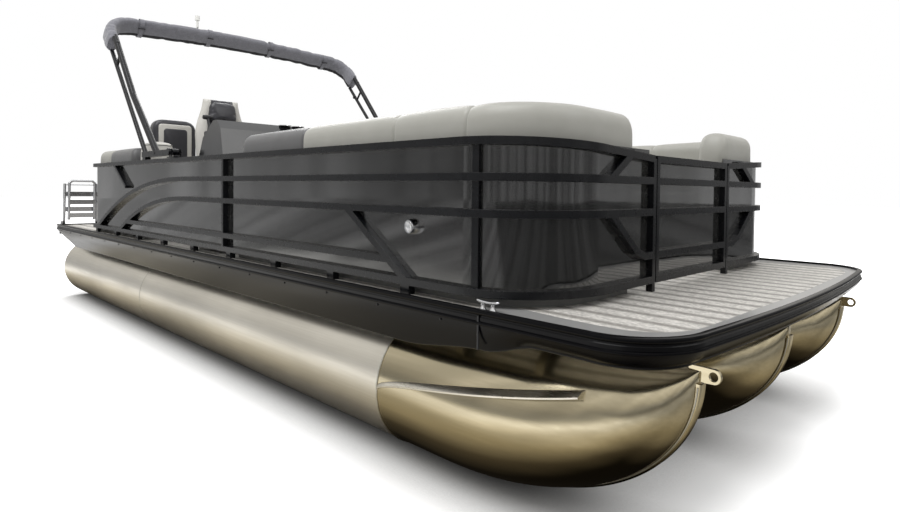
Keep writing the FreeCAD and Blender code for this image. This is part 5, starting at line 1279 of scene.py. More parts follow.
@dataclass
class Deck:
    """The deck covering's edge band and the horn cleats."""

    def build(self) -> None:
        """Build the deck's fittings."""
        self.edge_band()
        self.cleats()

    def edge_band(self) -> None:
        """Build the smooth band that borders the woven flooring along the bow."""
        inner = [(3.50, -1.112), (3.83, -1.146), (4.00, -1.151), (4.10, -1.143), (4.17, -1.115),
                 (4.225, -1.06), (4.258, -0.99), (4.270, -0.90), (4.275, -0.62), (4.288, -0.10)]
        inner += [(x, -y) for x, y in reversed(inner)]
        wide = DECK_Y - 0.002
        outer = [(3.50, -wide), (3.83, -wide), (4.00, -wide), (4.13, -wide), (4.215, -1.235), (4.275, -1.17),
                 (4.306, -1.07), (4.318, -0.93), (4.332, -0.62), (4.354, -0.10)]
        outer += [(x, -y) for x, y in reversed(outer)]
        verts = [vec(x, y, DECK_Z + 0.0008) for x, y in inner + outer]
        count = len(inner)
        faces = [(i, i + 1, count + i + 1, count + i) for i in range(count - 1)]
        Piece("deck_edge_band", [BAND], "woven_deck").place(mesh_from(verts, faces))

    def cleats(self) -> None:
        """Build four horn cleats in place of the plain ones."""
        low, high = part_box("cleats")
        meshes = []
        for x in (high.x - 0.060, low.x + 0.060):
            for side in Side:
                y = (high.y - 0.0115 if x > 0 else 0.884) * side.value
                centre = vec(x, y, DECK_Z)
                rings = []
                for i in range(25):
                    t = -1 + 2 * i / 24
                    lift = 0.033 + 0.006 * t * t
                    r = 0.0085 * sqrt(max(0.02, 1 - abs(t) ** 5))
                    rings.append([centre + vec(0.060 * t, r * cos(a) * 1.1, lift - 0.002 + r * sin(a) * 0.75)
                                  for a in turns(14)])
                meshes.append(skin(rings))
                for way in (-1, 1):
                    foot = [(0.015, 0.0), (0.014, 0.004), (0.008, 0.012), (0.0075, 0.026), (0.009, 0.034)]
                    meshes.append(lathe(foot, centre + vec(way * 0.026, 0, 0), UP, 18))
        made = Piece("horn_cleats", [STEEL], "bright_steel").place(meshes, 50)
        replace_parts(made, "cleats")


@dataclass
class Tubes:
    """The three tubes: round lengths, smooth nosecones, keel bands, tow eyes, strakes, welds and plugs."""

    taper_x: float = 3.112
    tip_x: float = 4.257
    tip_rise: float = 0.610
    tip_half: float = 0.014
    power: float = 2.4
    fullness: float = 0.62
    sides: int = 96
    seams: Sequence[float] = (2.859, -0.465)
    band_width: float = 0.046
    band_proud: float = 0.012
    band_root: float = 0.030
    strake_x: Plan = (2.872, 3.915)
    strake_lift: Plan = (2.0, 29.0)

    def station(self, step: float) -> tuple[float, float, float]:
        """Return X, half width and keel height of the nosecone at a share of its length."""
        left = max(0.0, 1 - step ** self.power)
        half = max(self.tip_half, TUBE_RADIUS * left ** self.fullness)
        return self.taper_x + step * (self.tip_x - self.taper_x), half, self.tip_rise * (1 - sqrt(left))

    def flank(self, x: float, y: float, outward: int, lift: float, sink: float = 0.0) -> Vector:
        """Return a point of a tube's flank, at an angle above its middle and sunk by a depth."""
        step = max(0.0, (x - self.taper_x) / (self.tip_x - self.taper_x))
        _, half, keel_z = self.station(step)
        rise = TUBE_RADIUS - keel_z / 2
        return vec(x, y + outward * (half - sink) * cos(lift),
                   2 * TUBE_RADIUS - rise + (rise - sink) * sin(lift))

    def build(self) -> None:
        """Build the tubes and what is welded on them."""
        places = (("pontoon_starboard", -TUBE_Y, True), ("pontoon_port", TUBE_Y, True),
                  ("pontoon_centre", 0.0, False))
        for node, y, outer in places:
            parts = [self.shell(node, y), self.band(y)]
            if outer:
                parts.append(self.eye(y))
            made = Piece(node.replace("pontoon", "tube"), [TUBE, NOSE], "tube_aluminium").place(parts, 40)
            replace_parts(made, node)
        strakes = [self.strake(y, way) for _, y, _ in places for way in (-1, 1)]
        made = Piece("nose_strakes", [MILL_BRIGHT], "tube_aluminium").place(strakes, 40)
        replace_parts(made, "lifting_strakes")
        self.welds([y for _, y, _ in places])
        self.plugs()

    def shell(self, node: str, y: float) -> Mesh:
        """Build one tube with its nosecone."""
        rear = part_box(node)[0].x
        seam = self.seams[0]
        stations = [(rear + (seam - rear) * i / 16, TUBE_RADIUS, 0.0) for i in range(17)]
        stations += [(seam + (self.taper_x - seam) * i / 4, TUBE_RADIUS, 0.0) for i in range(1, 4)]
        stations += [self.station(sin(pi / 2 * i / 44)) for i in range(45)]
        rings = []
        for x, half, keel_z in stations:
            rise = TUBE_RADIUS - keel_z / 2
            rings.append([vec(x, y + half * sin(a), 2 * TUBE_RADIUS - rise - rise * cos(a))
                          for a in turns(self.sides)])
        return skin(rings, index_of=lambda ring, _: 1 if stations[ring][0] > seam - 0.001 else 0)

    def keel_line(self, proud: float) -> list[Vector]:
        """Return the nosecone's keel line, moved outward."""
        rises = [0.044 + 0.926 * i / 48 for i in range(49)]
        stations = [self.station((1 - (1 - rise) ** 2) ** (1 / self.power)) for rise in rises]
        made = []
        for i, (x, _, z) in enumerate(stations):
            before, after = stations[max(i - 1, 0)], stations[min(i + 1, len(stations) - 1)]
            along = vec(after[0] - before[0], 0, after[2] - before[2]).normalized()
            made.append(vec(x, 0, z) + vec(along.z, 0, -along.x) * proud)
        return made

    def band(self, y: float) -> Mesh:
        """Build the band welded round the keel line, with eased edges."""
        outer, inner = self.keel_line(self.band_proud), self.keel_line(-self.band_root)
        deep = self.band_proud + self.band_root
        half = self.band_width / 2
        section = rounded_plan([(-half, 0.0), (half, 0.0), (half, deep), (-half, deep)],
                               [0.010, 0.010, 0.002, 0.002], 5)
        return skin(
            [[a + (b - a) * (v / deep) + vec(0, y + u, 0) for u, v in section] for a, b in zip(outer, inner)],
            index_of=lambda *_: 1)

    def eye(self, y: float) -> Mesh:
        """Build the tow eye: a round-ended plate with a hole and eased edges."""
        plate, outside, hole, root = 0.006, 0.027, 0.015, 0.090
        centre = vec(TOW_EYE.x - outside, y, TOW_EYE.z - outside)
        rings = []
        for a in turns(64):
            way = vec(cos(a), 0, sin(a))
            far = outside
            if way.x < 0:
                far = min(outside / max(abs(way.z), 1e-4), root / abs(way.x))
            rim = [(hole, -plate + 0.002), (hole + 0.0015, -plate), (far - 0.002, -plate),
                   (far, -plate + 0.002), (far, plate - 0.002), (far - 0.002, plate), (hole + 0.0015, plate),
                   (hole, plate - 0.002)]
            rings.append([centre + way * reach + vec(0, side, 0) for reach, side in rim])
        return skin(rings, closed=True, index_of=lambda *_: 1)

    def strake(self, y: float, outward: int) -> Mesh:
        """Build a lifting strake: a ledge on the nose's flank that widens to a squared front end."""
        rings = []
        rear, front = self.strake_x
        for i in range(41):
            share = i / 40
            x = rear + (front - rear) * share
            lift = radians(self.strake_lift[0] + (self.strake_lift[1] - self.strake_lift[0]) * share ** 0.7)
            wide = 0.010 + 0.024 * share
            foot = self.flank(x, y, outward, lift, 0.006)
            tip = self.flank(x, y, outward, lift) + vec(0, outward * wide, 0.002)
            head = self.flank(x, y, outward, lift + 0.09 + 0.05 * share, 0.006)
            lip = vec(0, 0, 0.009)
            middle = (tip + lip) * 0.5 + head * 0.5 + vec(0, outward * 0.003, 0.003)
            rings.append([foot, tip - vec(0, outward * 0.002, 0), tip + lip * 0.15, tip + lip * 0.85,
                          tip + lip - vec(0, outward * 0.002, 0), middle, head])
        return skin(rings)

    def welds(self, middles: Sequence[float]) -> None:
        """Build the ring welds of the tubes and the beads beside the keel bands."""
        beads = []
        for y in middles:
            for number, x in enumerate(self.seams):
                big = 0.0042 if number == 0 else 0.0020
                ring = [vec(x + 0.0008 * sin(k * 1.7), y + (TUBE_RADIUS + big * 0.2) * cos(a),
                            max(big, TUBE_RADIUS + (TUBE_RADIUS + big * 0.2) * sin(a)))
                        for k, a in enumerate(turns(120))]
                beads.append(tube(ring, big, 8, closed=True, up=AHEAD))
            for way in (-1, 1):
                beside = [p + vec(0, y + way * (self.band_width / 2 + 0.001), 0)
                          for p in self.keel_line(0.001)]
                beads.append(tube(beside[:-1], 0.0032, 8, up=ACROSS))
        Piece("ring_welds", [WELD], "tube_aluminium").place(beads, 60)

    def plugs(self) -> None:
        """Build the drain plugs and rims of the tubes' stern ends."""
        parts = []
        for y in (-TUBE_Y, TUBE_Y):
            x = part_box("pontoon_port")[0].x
            parts.append(lathe([(0.020, -0.002), (0.020, 0.006), (0.012, 0.008), (0.011, 0.014),
                                (0.0001, 0.015)], vec(x, y, 0.07), vec(-1, 0, 0), 24))
            parts.append(lathe([(0.308, -0.004), (0.308, 0.0), (0.304, 0.004), (0.29, 0.003), (0.28, -0.003)],
                               vec(x, y, TUBE_RADIUS), vec(-1, 0, 0), 72))
        Piece("tube_end_rims", [WELD], "tube_aluminium").place(parts)


@dataclass
class Trim:
    """Rub rails along the sides and round the bow: a rounded lip, a ridge, and a skin that leans in."""

    corner: float = 0.250
    sag: float = 0.050
    joint_x: float = 3.562
    lip_out: float = 0.025
    face_out: float = 0.019
    ridge_drop: float = 0.044
    deep: float = 0.215
    hem_in: float = 0.027
    stern_deep: float = 0.070
    stern_slope: float = 0.620
    bow_deep: float = 0.112

    def outline(self, grow: float) -> list[Plan]:
        """Return half of the deck's bow outline, from the joint to the middle, on the port side.

        Args:
            grow: how far it is moved outward.

        Returns:
            Plan points.
        """
        half = DECK_Y + grow
        front = DECK_X + grow
        radius = self.corner + grow
        centre_x, centre_y = front - self.sag - radius, half - radius
        points = [(self.joint_x + (centre_x - self.joint_x) * i / 14, half) for i in range(14)]
        points += [(centre_x + radius * sin(a), centre_y + radius * cos(a))
                   for a in (pi / 2 * k / 24 for k in range(25))]
        points += [(front - self.sag * (y / centre_y) ** 2, y)
                   for y in (centre_y * (1 - k / 14) for k in range(1, 15))]
        return points

    def section(self, deep: float, hem_in: float) -> list[Plan]:
        """Return the closed section: outward offset and drop below the lip, for one depth."""
        lip, face, ridge = self.lip_out, self.face_out, self.ridge_drop
        end = face - hem_in
        skin_thick = 0.010
        return [(0.0, 0.0), (lip - 0.006, 0.0), (lip - 0.002, 0.0015), (lip, 0.006), (lip, 0.012),
                (lip - 0.002, 0.0155), (face - 0.001, 0.018), (face - 0.003, 0.021), (face - 0.003, 0.025),
                (face, 0.029), (face, ridge - 0.003), (lip - 0.001, ridge), (lip, ridge + 0.003),
                (lip, ridge + 0.008), (lip - 0.002, ridge + 0.011), (face, ridge + 0.013),
                (face - 0.25 * hem_in, ridge + 0.013 + (deep - ridge - 0.013) * 0.42),
                (end + 0.004, deep - 0.010), (end + 0.003, deep - 0.004), (end - 0.003, deep),
                (end - 0.022, deep), (end - 0.022, deep - 0.005), (end - skin_thick, deep - 0.014),
                (face - skin_thick, ridge + 0.020), (0.0, ridge + 0.010)]

    def build(self) -> None:
        """Build the bow rail in one piece and a side rail for each side."""
        self.bow()
        for side in Side:
            self.rail(side)

    def bow(self) -> None:
        """Sweep the section round the bow."""
        starts = self.outline(0.0)
        grown = self.outline(0.01)
        rings = []
        for (x, y), (gx, gy) in zip(starts, grown):
            out = vec(gx - x, gy - y) / 0.01 if x > self.joint_x + 0.001 else vec(0.0, 1.0)
            out = out.normalized()
            ease = min(1.0, max(0.0, (x - self.joint_x) / 0.24)) if y > 1.2 else 1.0
            deep = 0.160 + (self.bow_deep - 0.160) * ease * ease * (3 - 2 * ease)
            tuck = 0.031 + 0.015 * ease
            rings.append([vec(x + out.x * u, y + out.y * u, LIP_Z - w) for u, w in self.section(deep, tuck)])
        other = [[mirrored(p) for p in ring] for ring in reversed(rings[:-1])]
        made = Piece("bow_rub_rail", [SKIRT], "charcoal_metal").place(skin(rings + other), 28)
        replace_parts(made, "bow_fascia")

    def rail(self, side: Side) -> None:
        """Sweep the section along one side, shallower at both ends."""
        node = f"skirt_{side.word}"
        low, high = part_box(node)
        marks = [low.x + self.stern_slope * i / 12 for i in range(13)]
        marks += [low.x + self.stern_slope + (3.05 - low.x - self.stern_slope) * i / 20 for i in range(1, 21)]
        marks += [3.05 + (high.x - 3.05) * i / 14 for i in range(1, 15)]
        rings = []
        for x in marks:
            rear = min(1.0, (x - low.x) / self.stern_slope)
            deep = self.stern_deep + (self.deep - self.stern_deep) * rear
            ease = max(0.0, (x - 3.05) / (high.x - 3.05))
            deep -= 0.055 * ease * ease * (3 - 2 * ease)
            share = (deep - self.ridge_drop) / (self.deep - self.ridge_drop)
            rings.append([vec(x, side.value * (DECK_Y + u), LIP_Z - w)
                          for u, w in self.section(deep, (self.face_out + self.hem_in) * share)])
        made = Piece(f"side_rub_rail_{side.word}", [SKIRT], "charcoal_metal").place(skin(rings), 28)
        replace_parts(made, node)


@dataclass
class Fence:
    """Fence details: inner bars, docking lights, gate latches, and screws on the rub rail."""

    thin_bars: Sequence[float] = (2.274, 2.323)
    wide_bars: Sequence[float] = (0.762, 0.185, -0.9)
    bar_z: Plan = (1.314, 1.424)
    bar_inset: float = 0.020
    screw_pitch: float = 0.42
    screw_count: int = 16
    screw_front: float = 3.35

    def build(self) -> None:
        """Build the fence's small pieces."""
        self.bars()
        self.docking_lights()
        self.latches()
        self.screws()

    def bars(self) -> None:
        """Build the thin uprights behind the sheets, between the two upper rails."""
        meshes = []
        for side in Side:
            y = (FENCE_Y - self.bar_inset) * side.value
            for x, width in [(x, 0.012) for x in self.thin_bars] + [(x, 0.022) for x in self.wide_bars]:
                meshes.append(
                    bar(vec(x, y, self.bar_z[0]), vec(x, y, self.bar_z[1]), width, 0.016, up=ACROSS))
        Piece("fence_inner_bars", [POWDER], "rail_metal").place(meshes)

    def docking_lights(self) -> None:
        """Build the docking lights: a chrome bezel, a bowl and a clear lens."""
        low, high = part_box("docking_lights")
        centre_x, centre_z = (low.x + high.x) / 2, (low.z + high.z) / 2
        bezels, lenses = [], []
        for side in Side:
            face = high.y * side.value
            out = vec(0, side.value, 0)
            centre = vec(centre_x, face, centre_z)
            bezels.append(
                lathe([(0.030, -0.044), (0.034, -0.040), (0.034, -0.034), (0.032, -0.016), (0.028, -0.006),
                       (0.025, -0.006), (0.022, -0.014), (0.012, -0.020), (0.0001, -0.021)], centre, out, 40))
            lenses.append(lathe([(0.0255, -0.0085), (0.020, -0.003), (0.010, -0.0004), (0.0001, 0.0)], centre,
                                out, 32))
        made = Piece("docking_light_bezels", [STEEL], "lamp").place(bezels, 50)
        Piece("docking_light_lenses", [LENS], "lamp").place(lenses, 60)
        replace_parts(made, "docking_lights")

    def latches(self) -> None:
        """Build a slide latch on each gate: a plate along its frame and a pull knob."""
        for body in (Body.BOW_GATE, Body.SIDE_GATE, Body.STERN_GATE):
            low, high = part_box(body.value + "_frame")
            z = high.z - 0.10
            if body is Body.BOW_GATE:
                start, along, out = vec(low.x + 0.001, high.y, z), -ACROSS, -AHEAD
            elif body is Body.SIDE_GATE:
                start, along, out = vec(low.x, low.y + 0.001, z), AHEAD, -ACROSS
            else:
                start, along, out = vec(high.x - 0.001, low.y, z), ACROSS, AHEAD
            plate = bar(start + along * 0.004, start + along * 0.075, 0.007, 0.026)
            pull = lathe([(0.006, 0.0), (0.005, 0.014), (0.009, 0.017), (0.010, 0.022), (0.0001, 0.025)],
                         start + along * 0.055, out, 18)
            Piece(body.value + "_latch", [STEEL], "bright_steel", body).place([plate, pull])

    def screws(self) -> None:
        """Build the pan-head screws along the rub rail and the cover of its joint."""
        meshes = []
        joint_x = Trim.joint_x
        for side in Side:
            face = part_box("skirt_port")[1].y * side.value
            for i in range(self.screw_count):
                centre = vec(self.screw_front - i * self.screw_pitch, face - side.value * 0.0065,
                             DECK_Z - 0.055)
                meshes.append(
                    lathe([(0.0055, 0.0), (0.005, 0.002), (0.0001, 0.0034)], centre, ACROSS * side.value, 12))
            y = face - side.value * 0.004
            meshes.append(bar(vec(joint_x, y, DECK_Z - 0.010), vec(joint_x, y, DECK_Z - 0.135), 0.010, 0.004,
                              up=ACROSS))
        Piece("rub_rail_screws", [POWDER], "charcoal_metal").place(meshes, 40)


@dataclass
class Helm:
    """Console dressing: instrument panel, dials, switches, screen, throttle, drink holders and wheel trim."""

    dial_radius: float = 0.046
    dial_reach: float = 0.19
    wheel_middle: Point = (0.46812, -0.83, 1.5106)
    wheel_tilt: float = radians(62)

    def build(self) -> None:
        """Build the console's pieces."""
        self.panel()
        self.throttle()
        self.wheel()

    def dash(self) -> Callable[[float, float, float], Vector]:
        """Return a placing function on the sloping dash: across, up the slope and out of it."""
        low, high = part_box("helm_console")
        top = vec(high.x - 0.24, 0, high.z)
        foot = vec(low.x + 0.12, 0, high.z - 0.110)
        slope = (top - foot).normalized()
        out = vec(-slope.z, 0, slope.x)
        middle = (low.y + high.y) / 2

        def place(u: float, v: float, w: float) -> Vector:
            """Place a point of the dash."""
            return foot + slope * v + out * w + vec(0, middle + u, 0)
        return place

    def panel(self) -> None:
        """Build the instrument panel with its dials and rocker switches."""
        place = self.dash()
        shape = rounded_box((-0.27, 0.010), (0.27, 0.175), 0.03)
        Piece("dash_panel", [NYLON], "console_shell").place(slab(shape, 0.0005, 0.007, place, 0.003, 3))
        glass, rims, marks, switches = [], [], [], []
        out = (place(0, 0, 1) - place(0, 0, 0)).normalized()
        side = (place(1, 0, 0) - place(0, 0, 0)).normalized()
        rise = (place(0, 1, 0) - place(0, 0, 0)).normalized()
        r = self.dial_radius
        for u in (-self.dial_reach, self.dial_reach):
            centre = place(u, 0.105, 0.007)
            rims.append(lathe([(r, 0.0), (r, 0.008), (r - 0.004, 0.010), (r - 0.006, 0.006)], centre, out,
                              40))
            glass.append(lathe([(r - 0.005, 0.001), (r - 0.005, 0.006), (0.0001, 0.0065)], centre, out, 40))
            face = centre + out * 0.0068
            for angle in (radians(225 - 27 * k) for k in range(11)):
                way = side * cos(angle) + rise * sin(angle)
                marks.append(bar(face + way * (r - 0.016), face + way * (r - 0.009), 0.0018, 0.0006, up=out))
            needle = side * cos(radians(215)) + rise * sin(radians(215))
            foot = centre + out * 0.0070
            marks.append(bar(foot, foot + needle * (r - 0.014), 0.002, 0.0008, up=out))
        shape = rounded_box((-0.115, 0.045), (0.115, 0.165), 0.008, 4)
        glass.append(slab(shape, 0.006, 0.014, place, 0.003, 3))
        for i in range(8):
            u = -0.105 + i * 0.03
            switches.append(slab(rounded_box((u - 0.010, 0.016), (u + 0.010, 0.038), 0.003, 3), 0.006, 0.012,
                                 place, 0.002, 2))
        for name, finish, meshes in (("dial_glass", GLASS, glass), ("dial_rims", STEEL, rims),
                                     ("dial_marks", INK, marks), ("rocker_switches", RUBBER, switches)):
            Piece(name, [finish], "console_shell").place(meshes)

    def throttle(self) -> None:
        """Build the engine control: a moulded box, a lever and its grip."""
        low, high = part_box("helm_console")
        y = low.y + 0.045
        base = vec(low.x + 0.13, y, high.z - 0.115)
        shape = rounded_box((-0.055, -0.026), (0.055, 0.026), 0.02)

        def level(u: float, v: float, w: float) -> Vector:
            """Lay a plan point level on the console."""
            return base + vec(u, v, w)
        box = slab(shape, 0.0, 0.055, level, 0.012, 5)
        lever = bar(base + vec(0.0, 0.0, 0.045), base + vec(-0.045, 0.0, 0.150), 0.014, 0.022, edge=0.005)
        Piece("engine_control_box", [NYLON], "console_shell").place([box, lever])
        grip = lathe([(0.0001, 0.0), (0.014, 0.004), (0.017, 0.02), (0.015, 0.055), (0.010, 0.068),
                      (0.0001, 0.072)], base + vec(-0.045, -0.035, 0.155), ACROSS, 24)
        Piece("engine_control_grip", [GRIP], "console_shell").place(grip, 60)
        cups = []
        for u in (0.0, 0.10):
            centre = vec(high.x - 0.175, high.y - 0.06 - u, high.z)
            cups.append(lathe([(0.045, 0.001), (0.044, 0.005), (0.036, 0.004), (0.034, 0.0005)], centre, UP,
                              32))
        Piece("drink_holder_rims", [STEEL], "bright_steel").place(cups)

    def wheel(self) -> None:
        """Build the wheel's hub cap."""
        axis = vec(-sin(self.wheel_tilt), 0, cos(self.wheel_tilt))
        cap = lathe([(0.040, 0.012), (0.041, 0.020), (0.036, 0.028), (0.020, 0.033), (0.0001, 0.034)],
                    vec(*self.wheel_middle), axis, 36)
        Piece("wheel_hub_cap", [PEDESTAL], "wheel_plastic", Body.WHEEL).place(cap)


@dataclass
class Outboard:
    """Outboard's dressing: the hood's seal and vents, the intake grille and the anode."""

    tilt: float = radians(62)
    pivot: Point = (-3.303, 0.0, 0.835)
    steer_x: float = -3.408
    hood_lift: float = 0.050
    half_width: float = 0.180

    def tipped(self, x: float, y: float, z: float) -> Vector:
        """Return the parked place of a point given for the upright motor."""
        dx, dz = x - self.pivot[0], z - self.pivot[2]
        c, s = cos(self.tilt), sin(self.tilt)
        return vec(self.pivot[0] + dx * c + dz * s, y, self.pivot[2] - dx * s + dz * c)

    def build(self) -> None:
        """Build the outboard's small pieces."""
        steer, half = self.steer_x, self.half_width
        base = self.pivot[2] + self.hood_lift

        def ring_at(up: float, back: float, ahead: float, wide: float, grow: float) -> list[Vector]:
            """Return the hood's outline at a height."""
            plan = rounded_box((steer + back * half, -wide * half), (steer + ahead * half, wide * half),
                               0.075, 8)
            cx = steer + (back + ahead) * half / 2
            return [self.tipped(x + (x - cx) * grow, y * (1 + grow), base + up) for x, y in plan]
        seam = [ring_at(0.100, -1.73, 0.70, 0.955, 0.004), ring_at(0.100, -1.73, 0.70, 0.955, 0.030),
                ring_at(0.116, -1.75, 0.715, 0.965, 0.030), ring_at(0.116, -1.75, 0.715, 0.965, 0.004)]
        Piece("hood_seal", [RUBBER], "cowl_plastic", Body.MOTOR).place(skin(seam, closed=True))
        vents, grille = [], []
        for way in (-1, 1):
            for i in range(5):
                z = base + 0.30 + i * 0.022
                vents.append(
                    bar(self.tipped(steer - 0.245 + i * 0.006, way * 0.166, z),
                        self.tipped(steer - 0.130 + i * 0.004, way * 0.174, z), 0.010, 0.008, up=ACROSS))
            for i in range(6):
                z = 0.115 - i * 0.018
                grille.append(bar(self.tipped(steer - 0.120, way * 0.0180, z),
                                  self.tipped(steer - 0.180, way * 0.0180, z), 0.006, 0.004, up=ACROSS))
        Piece("hood_vents", [RUBBER], "cowl_plastic", Body.MOTOR).place(vents)
        Piece("water_intake_grille", [MILL], "motor_metal", Body.MOTOR).place(grille)
        anode = bar(self.tipped(steer - 0.10, 0, 0.148), self.tipped(steer - 0.20, 0, 0.148), 0.05, 0.010)
        Piece("anode", [MILL], "motor_metal", Body.MOTOR).place(anode)


@dataclass
class Ladder:
    """Rubber tread pads of the boarding ladder."""

    pin: Point = (-3.185, 0.0, 0.801)
    lean: float = radians(6)
    pad_inset: float = 0.0135
    pad_pitch: float = 0.013

    def build(self) -> None:
        """Build the pads that stand on the ladder's treads."""
        pin = vec(*self.pin)
        turn = Matrix.Translation(pin) @ Matrix.Rotation(self.lean, 4, "Y") @ Matrix.Translation(-pin)
        for body, x, y_low, y_high, rises, name in (
                (Body.LADDER, self.pin[0], -1.205, -0.925, (0.129, 0.301), "ladder_upper_treads"),
                (Body.EXTENSION, -3.140, -1.170, -0.960, (0.0645, 0.215), "ladder_lower_treads")):
            meshes = []
            for rise in rises:
                for step in range(3):
                    z = self.pin[2] + rise + 0.012 + step * self.pad_pitch
                    meshes.append(bar(vec(x - self.pad_inset, y_low, z), vec(x - self.pad_inset, y_high, z),
                                      0.004, 0.008, up=UP))
            mesh = joined(meshes)
            mesh.transform(turn)
            Piece(name, [RUBBER], "bright_steel", body).place(mesh)


def dress_solids() -> None:
    """Give every solid that stays in view its real finish."""
    groups = (
        (MILL, ("riser_rails", "cross_beams", "transom_pod")),
        (SKIRT, ("stern_trim",)),
        (POWDER, ("fence_starboard", "fence_port", "bow_gate_frame", "side_gate_frame", "stern_gate_frame",
                  "tower_mounts", "tower_frame")),
        (SMOKE, ("panel_starboard", "panels_port", "bow_gate_panel", "side_gate_panel", "stern_gate_panel")),
        (FLOORING, ("deck",)),
        (POLY, ("bow_lounge_bases", "aft_lounge_bases")),
        (GELCOAT, ("helm_console",)),
        (GRIP, ("steering_wheel",)),
        (NYLON, ("steering_column",)),
        (PEDESTAL, ("chair_pedestal", "chair_base")),
        (BRUSHED_STEEL, ("ladder_brackets", "ladder_upper", "ladder_lower")),
        (STEEL, ("propeller",)),
        (ENAMEL, ("motor_clamp", "motor_bracket", "motor_leg")),
        (HOOD, ("motor_cowl",)),
        (IRON, ("engine_block",)),
        (OPAL, ("anchor_light",)),
    )
    finishes = {name: finish for finish, names in groups for name in names}
    for name, piece in frame["nodes"].items():
        finish = finishes.get(name)
        if finish is None:
            continue
        piece.data.materials.clear()
        piece.data.materials.append(finish.material())
        LOG.info("solid %s: %s", name, finish.name)


